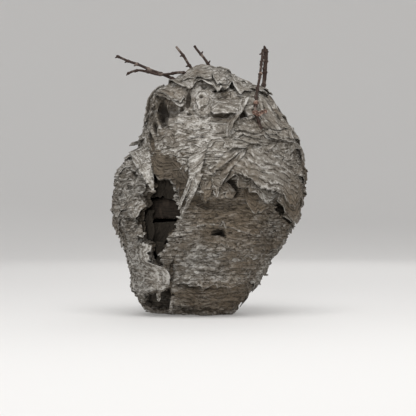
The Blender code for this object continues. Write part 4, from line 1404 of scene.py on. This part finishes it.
class NEST_OT_combs(bpy.types.Operator):
    """Build the three combs of six-sided cells"""
    bl_idname = "nest.combs"
    bl_label = "Combs"

    def execute(self, context):
        """Build them."""
        look = context.scene.nest_combs
        brown = shared_material("comb_paper", comb_material)
        tree = honeycomb_tree(brown)
        for seed, (name, (middle, bottom, _, radius)) in enumerate(COMBS.items()):
            cells = placed(name + "_cells", cell_mesh(look.cell_width, look.cell_depth))
            run_tree(cells, tree, {"Cell Width": look.cell_width,
                                   "Comb Radius": (radius - 3.0) * MM,
                                   "Middle": (middle * MM, 0.0, (bottom + 1.0) * MM),
                                   "Seed": seed})
            roof = comb_roof(name, look.cell_width / MM)
            mesh = joined_meshes(name + "_comb", [cells.data, roof, pillar_mesh(name)])
            mesh.materials.clear()
            mesh.materials.append(brown)
            bpy.data.objects.remove(cells, do_unlink=True)
            settle(placed(name + "_paper", mesh), "comb", name)
        return {"FINISHED"}


def pillar_mesh(name):
    """The short pillars that hold a comb."""
    middle, _, top, radius = COMBS[name]
    reach = PILLARS[name]
    grown = bmesh.new()
    for k in range(3):
        turn = math.tau * (k + 0.35) / 3
        spot = Vector((middle + radius * PILLAR_RING * math.cos(turn),
                       radius * PILLAR_RING * math.sin(turn), (top + reach) / 2 - 1.0)) * MM
        made = bmesh.ops.create_cone(grown, cap_ends=True, segments=16,
                                     radius1=PILLAR_RADIUS * 1.3 * MM,
                                     radius2=PILLAR_RADIUS * 0.9 * MM,
                                     depth=(reach - top + 1.4) * MM)
        bmesh.ops.translate(grown, vec=spot, verts=made["verts"])
    return mesh_of(name + "_pillars", grown)


def joined_meshes(name, meshes):
    """One mesh with everything of several."""
    grown = bmesh.new()
    for mesh in meshes:
        grown.from_mesh(mesh)
    for face in grown.faces:
        face.material_index = 0
    return mesh_of(name, grown)


# ------------------------------------------------------------------ twigs and bud
def twig_points(name):
    """The rings of points of a knotty twig."""
    look = bpy.context.scene.nest_twigs
    thin, thick, path = TWIGS[name]
    knots = np.array(path, float)
    length = np.linalg.norm(np.diff(knots, axis=0), axis=1).sum()
    rings = max(12, round(length / TWIG_RING))
    t = np.linspace(0, 1, rings + 1)
    middle = trace(knots, t)
    seed = len(name) * 13
    sway = np.column_stack([cloud(middle, 12, seed + k) for k in range(3)]) * 0.5
    middle = middle + sway
    run = unit(np.gradient(middle, axis=0))
    side = unit(np.cross(run, (0.3, 1.0, 0.2)))
    other = np.cross(run, side)
    along = t * length
    spacing = look.knot_spacing / MM
    knot = np.abs((along / spacing + 0.37 * seed) % 1.0 - 0.5) * spacing
    radius = (thin + (thick - thin) * t) * (0.88 + 0.34 * smooth(1.8, 0.0, knot))
    radius[0] *= 0.55
    turn = np.linspace(0, math.tau, TWIG_SIDES, endpoint=False)
    points = (middle[:, None] + (np.cos(turn)[None, :, None] * side[:, None]
                                 + np.sin(turn)[None, :, None] * other[:, None])
              * radius[:, None, None])
    points = points.reshape(-1, 3)
    rough = 0.12 * fractal(points, 2.2, 2, seed)
    points += rough[:, None] * unit(points - np.repeat(middle, TWIG_SIDES, axis=0))
    return points, rings, middle, run, radius, knot


def twig_mesh(name):
    """A knotty twig with small side buds."""
    points, rings, middle, run, radius, knot = twig_points(name)
    sides = TWIG_SIDES
    grown = bmesh.new()
    verts = [grown.verts.new(point) for point in points * MM]
    for ring in range(rings):
        for k in range(sides):
            a, b = ring * sides + k, ring * sides + (k + 1) % sides
            grown.faces.new((verts[a], verts[b], verts[b + sides], verts[a + sides]))
    grown.faces.new(verts[:sides])
    grown.faces.new(verts[-sides:])
    bmesh.ops.recalc_face_normals(grown, faces=grown.faces)
    for k in range(2, int(rings * TWIG_BUDDED)):
        if knot[k] < knot[k - 1] and knot[k] <= knot[k + 1]:
            add_side_bud(grown, middle[k], run[k], radius[k], k)
    mesh = mesh_of(name + "_bark", grown)
    mesh.shade_smooth()
    return mesh


def add_side_bud(grown, spot, run, radius, number):
    """A small bud on the side of a twig."""
    lean = Vector(run) * -0.8 + Vector((math.cos(number * 2.1), -0.4, math.sin(number * 2.1)))
    made = bmesh.ops.create_uvsphere(grown, u_segments=8, v_segments=6, radius=radius * 0.62 * MM)
    bmesh.ops.scale(grown, vec=(0.8, 0.8, 1.9), verts=made["verts"])
    turn = lean.to_track_quat("Z", "Y").to_matrix()
    bmesh.ops.rotate(grown, cent=(0, 0, 0), matrix=turn, verts=made["verts"])
    bmesh.ops.translate(grown, vec=(Vector(spot) + lean.normalized() * radius) * MM,
                        verts=made["verts"])


class NEST_OT_twigs(bpy.types.Operator):
    """Build the cut twigs that the paper grips"""
    bl_idname = "nest.twigs"
    bl_label = "Twigs"

    def execute(self, context):
        """Build them."""
        bark = shared_material("twig_bark", bark_material)
        for name in TWIGS:
            mesh = twig_mesh(name)
            mesh.materials.append(bark)
            settle(placed(name + "_bark", mesh), "twig", name)
        return {"FINISHED"}


class NEST_OT_bud(bpy.types.Operator):
    """Build the dry bud scale on the front"""
    bl_idname = "nest.bud"
    bl_label = "Bud scale"

    def execute(self, context):
        """Build it as two wrinkled halves that meet in a V, and the beads on the twig."""
        stack = Stack()
        columns, rows = 20, 10
        u, v = grid(columns, rows, (-1, 1), (-1, 1))
        for seed, (x, z, half_length, half_width, lean) in enumerate(BUD_HALVES):
            run = np.array((math.cos(math.radians(lean)), math.sin(math.radians(lean))))
            frayed = 1 + 0.5 * fractal(with_third(u * 3, v, seed), 1, 3, 71)
            wide = np.sqrt(np.clip(1 - u ** 2, 0.05, 1)) * v * frayed
            flat = (np.array((x, z)) + (u * half_length)[:, None] * run
                    + (wide * half_width)[:, None] * np.array((-run[1], run[0])))
            wrinkles = with_third(u * half_length, v * half_width, 5.0)
            cup = 1.2 * (u ** 2 + wide ** 2) + 1.6 * fractal(wrinkles, (3, 2, 3), 2, seed + 1)
            points, out = laid_at(flat, front, BUD_RISE + cup)
            stack.add(points, grid_faces(columns, rows), flat, np.zeros((len(u), 4)), out)
        scale = shared_material("bud_scale", scale_material)
        settle(stack.build("bud_scale_leaf", scale, 0.0005), "bud", "bud_scale")
        grown = bmesh.new()
        for x, y, z, radius in BEADS:
            made = bmesh.ops.create_icosphere(grown, subdivisions=3, radius=radius * MM)
            bmesh.ops.translate(grown, vec=Vector((x, y, z)) * MM, verts=made["verts"])
        mesh = mesh_of("twig_beads", grown)
        mesh.shade_smooth()
        mesh.materials.append(scale)
        settle(placed("twig_beads", mesh), "bud")
        return {"FINISHED"}


# ------------------------------------------------------------------ the stage
SWEEP_START = 2.0           # where the floor begins to curve up all round the nest
SWEEP_RADIUS = 1.6
SWEEP_STEPS = 32
SWEEP_SEGMENTS = 96
FLOOR_GLOW = 0.28
WORLD_COLOUR = (0.97, 0.97, 1.0, 1.0)
WORLD_STRENGTH = 0.34
# name: (place, the point that it looks at, side, watts), in metres
LIGHTS = {
    "sky_light": ((0.05, -0.75, 1.4), (0.0, 0.0, 0.13), 1.1, 17.5),
    "front_light": ((-0.25, -2.6, 0.62), (0.0, 0.0, 0.1), 0.6, 18.5),
    "rear_light": ((0.3, 1.6, 1.3), (0.0, 0.0, 0.15), 1.4, 10.0),
}


class NEST_OT_stage(bpy.types.Operator):
    """Build the floor, the lights and the camera"""
    bl_idname = "nest.stage"
    bl_label = "Stage"

    def execute(self, context):
        """Build them."""
        look = context.scene.nest_stage
        floor = placed("floor", floor_mesh(look.backdrop_height))
        floor.data.materials.append(floor_material((*look.floor_colour, 1.0)))
        for name, light in LIGHTS.items():
            add_light(name, *light)
        world = bpy.data.worlds.new("studio")
        world.use_nodes = True
        background = world.node_tree.nodes["Background"]
        background.inputs[0].default_value = WORLD_COLOUR
        background.inputs[1].default_value = WORLD_STRENGTH
        context.scene.world = world
        add_camera(look.lens)
        context.scene.view_settings.view_transform = "Standard"
        return {"FINISHED"}


def floor_material(colour):
    """A matt floor that shines a little by itself."""
    material, r = new_recipe("floor")
    shader = r.node("ShaderNodeBsdfPrincipled", {},
                    {"Base Color": colour, "Roughness": 0.9, "Emission Color": colour,
                     "Emission Strength": FLOOR_GLOW})
    r.node("ShaderNodeOutputMaterial", {}, {"Surface": shader})
    return material


def floor_mesh(height):
    """A round floor that curves up into a wall of that height."""
    bend = [math.radians(k * 90 / SWEEP_STEPS) for k in range(SWEEP_STEPS + 1)]
    profile = [(SWEEP_START / 2, 0.0)]
    profile += [(SWEEP_START + SWEEP_RADIUS * math.sin(a),
                 SWEEP_RADIUS * (1 - math.cos(a))) for a in bend]
    profile += [(SWEEP_START + SWEEP_RADIUS, height)]
    n = SWEEP_SEGMENTS
    turns = [math.tau * k / n for k in range(n)]
    points = [(reach * math.cos(turn), reach * math.sin(turn), z)
              for reach, z in profile for turn in turns]
    faces = [(row * n + k, (row + 1) * n + k, (row + 1) * n + (k + 1) % n,
              row * n + (k + 1) % n) for row in range(len(profile) - 1) for k in range(n)]
    faces.append(tuple(range(n)))
    mesh = bpy.data.meshes.new("floor")
    mesh.from_pydata(points, [], faces)
    mesh.shade_smooth()
    return mesh


def add_light(name, place, target, size, power):
    """A square soft light that looks at a point."""
    lamp = bpy.data.lights.new(name, "AREA")
    lamp.size = size
    lamp.energy = power
    light = placed(name, lamp)
    light.location = place
    light.rotation_euler = (Vector(target) - Vector(place)).to_track_quat("-Z", "Y").to_euler()


def add_camera(lens):
    """A level camera in front of the nest."""
    camera_data = bpy.data.cameras.new("camera")
    camera_data.lens = lens
    camera_data.sensor_width = SENSOR
    camera = placed("camera", camera_data)
    away = lens / SENSOR * PICTURE_WIDTH * MM
    camera.location = (CAMERA_AIM[0] * MM, -away, CAMERA_AIM[1] * MM)
    camera.rotation_euler = (math.radians(90), 0.0, 0.0)
    bpy.context.scene.camera = camera


class NEST_PT_panel(bpy.types.Panel):
    """The nest's sizes, colours and buttons"""
    bl_label = "Paper Wasp Nest"
    bl_idname = "NEST_PT_panel"
    bl_space_type = "VIEW_3D"
    bl_region_type = "UI"
    bl_category = "Nest"

    def draw(self, context):
        """List the settings and the operators."""
        for group in (context.scene.nest_paper, context.scene.nest_combs,
                      context.scene.nest_twigs, context.scene.nest_stage):
            for name in group.__annotations__:
                self.layout.prop(group, name)
        for operator in OPERATORS:
            self.layout.operator(operator.bl_idname)


GROUPS = {"nest_paper": NestPaper, "nest_combs": NestCombs, "nest_twigs": NestTwigs,
          "nest_stage": NestStage}
OPERATORS = (NEST_OT_stage, NEST_OT_wall, NEST_OT_front_sheets, NEST_OT_shingles, NEST_OT_scraps,
             NEST_OT_flecks, NEST_OT_combs, NEST_OT_twigs, NEST_OT_bud)


def register():
    """Register the classes and give the scene its settings."""
    for name, group in GROUPS.items():
        bpy.utils.register_class(group)
        setattr(bpy.types.Scene, name, bpy.props.PointerProperty(type=group))
    for kind in (*OPERATORS, NEST_PT_panel):
        bpy.utils.register_class(kind)


def unregister():
    """Take the classes and the settings away."""
    for kind in (NEST_PT_panel, *reversed(OPERATORS)):
        bpy.utils.unregister_class(kind)
    for name, group in GROUPS.items():
        delattr(bpy.types.Scene, name)
        bpy.utils.unregister_class(group)


def main():
    """Build everything in order."""
    register()
    for operator in OPERATORS:
        family, name = operator.bl_idname.split(".")
        getattr(getattr(bpy.ops, family), name)()


if __name__ == "__main__":
    main()
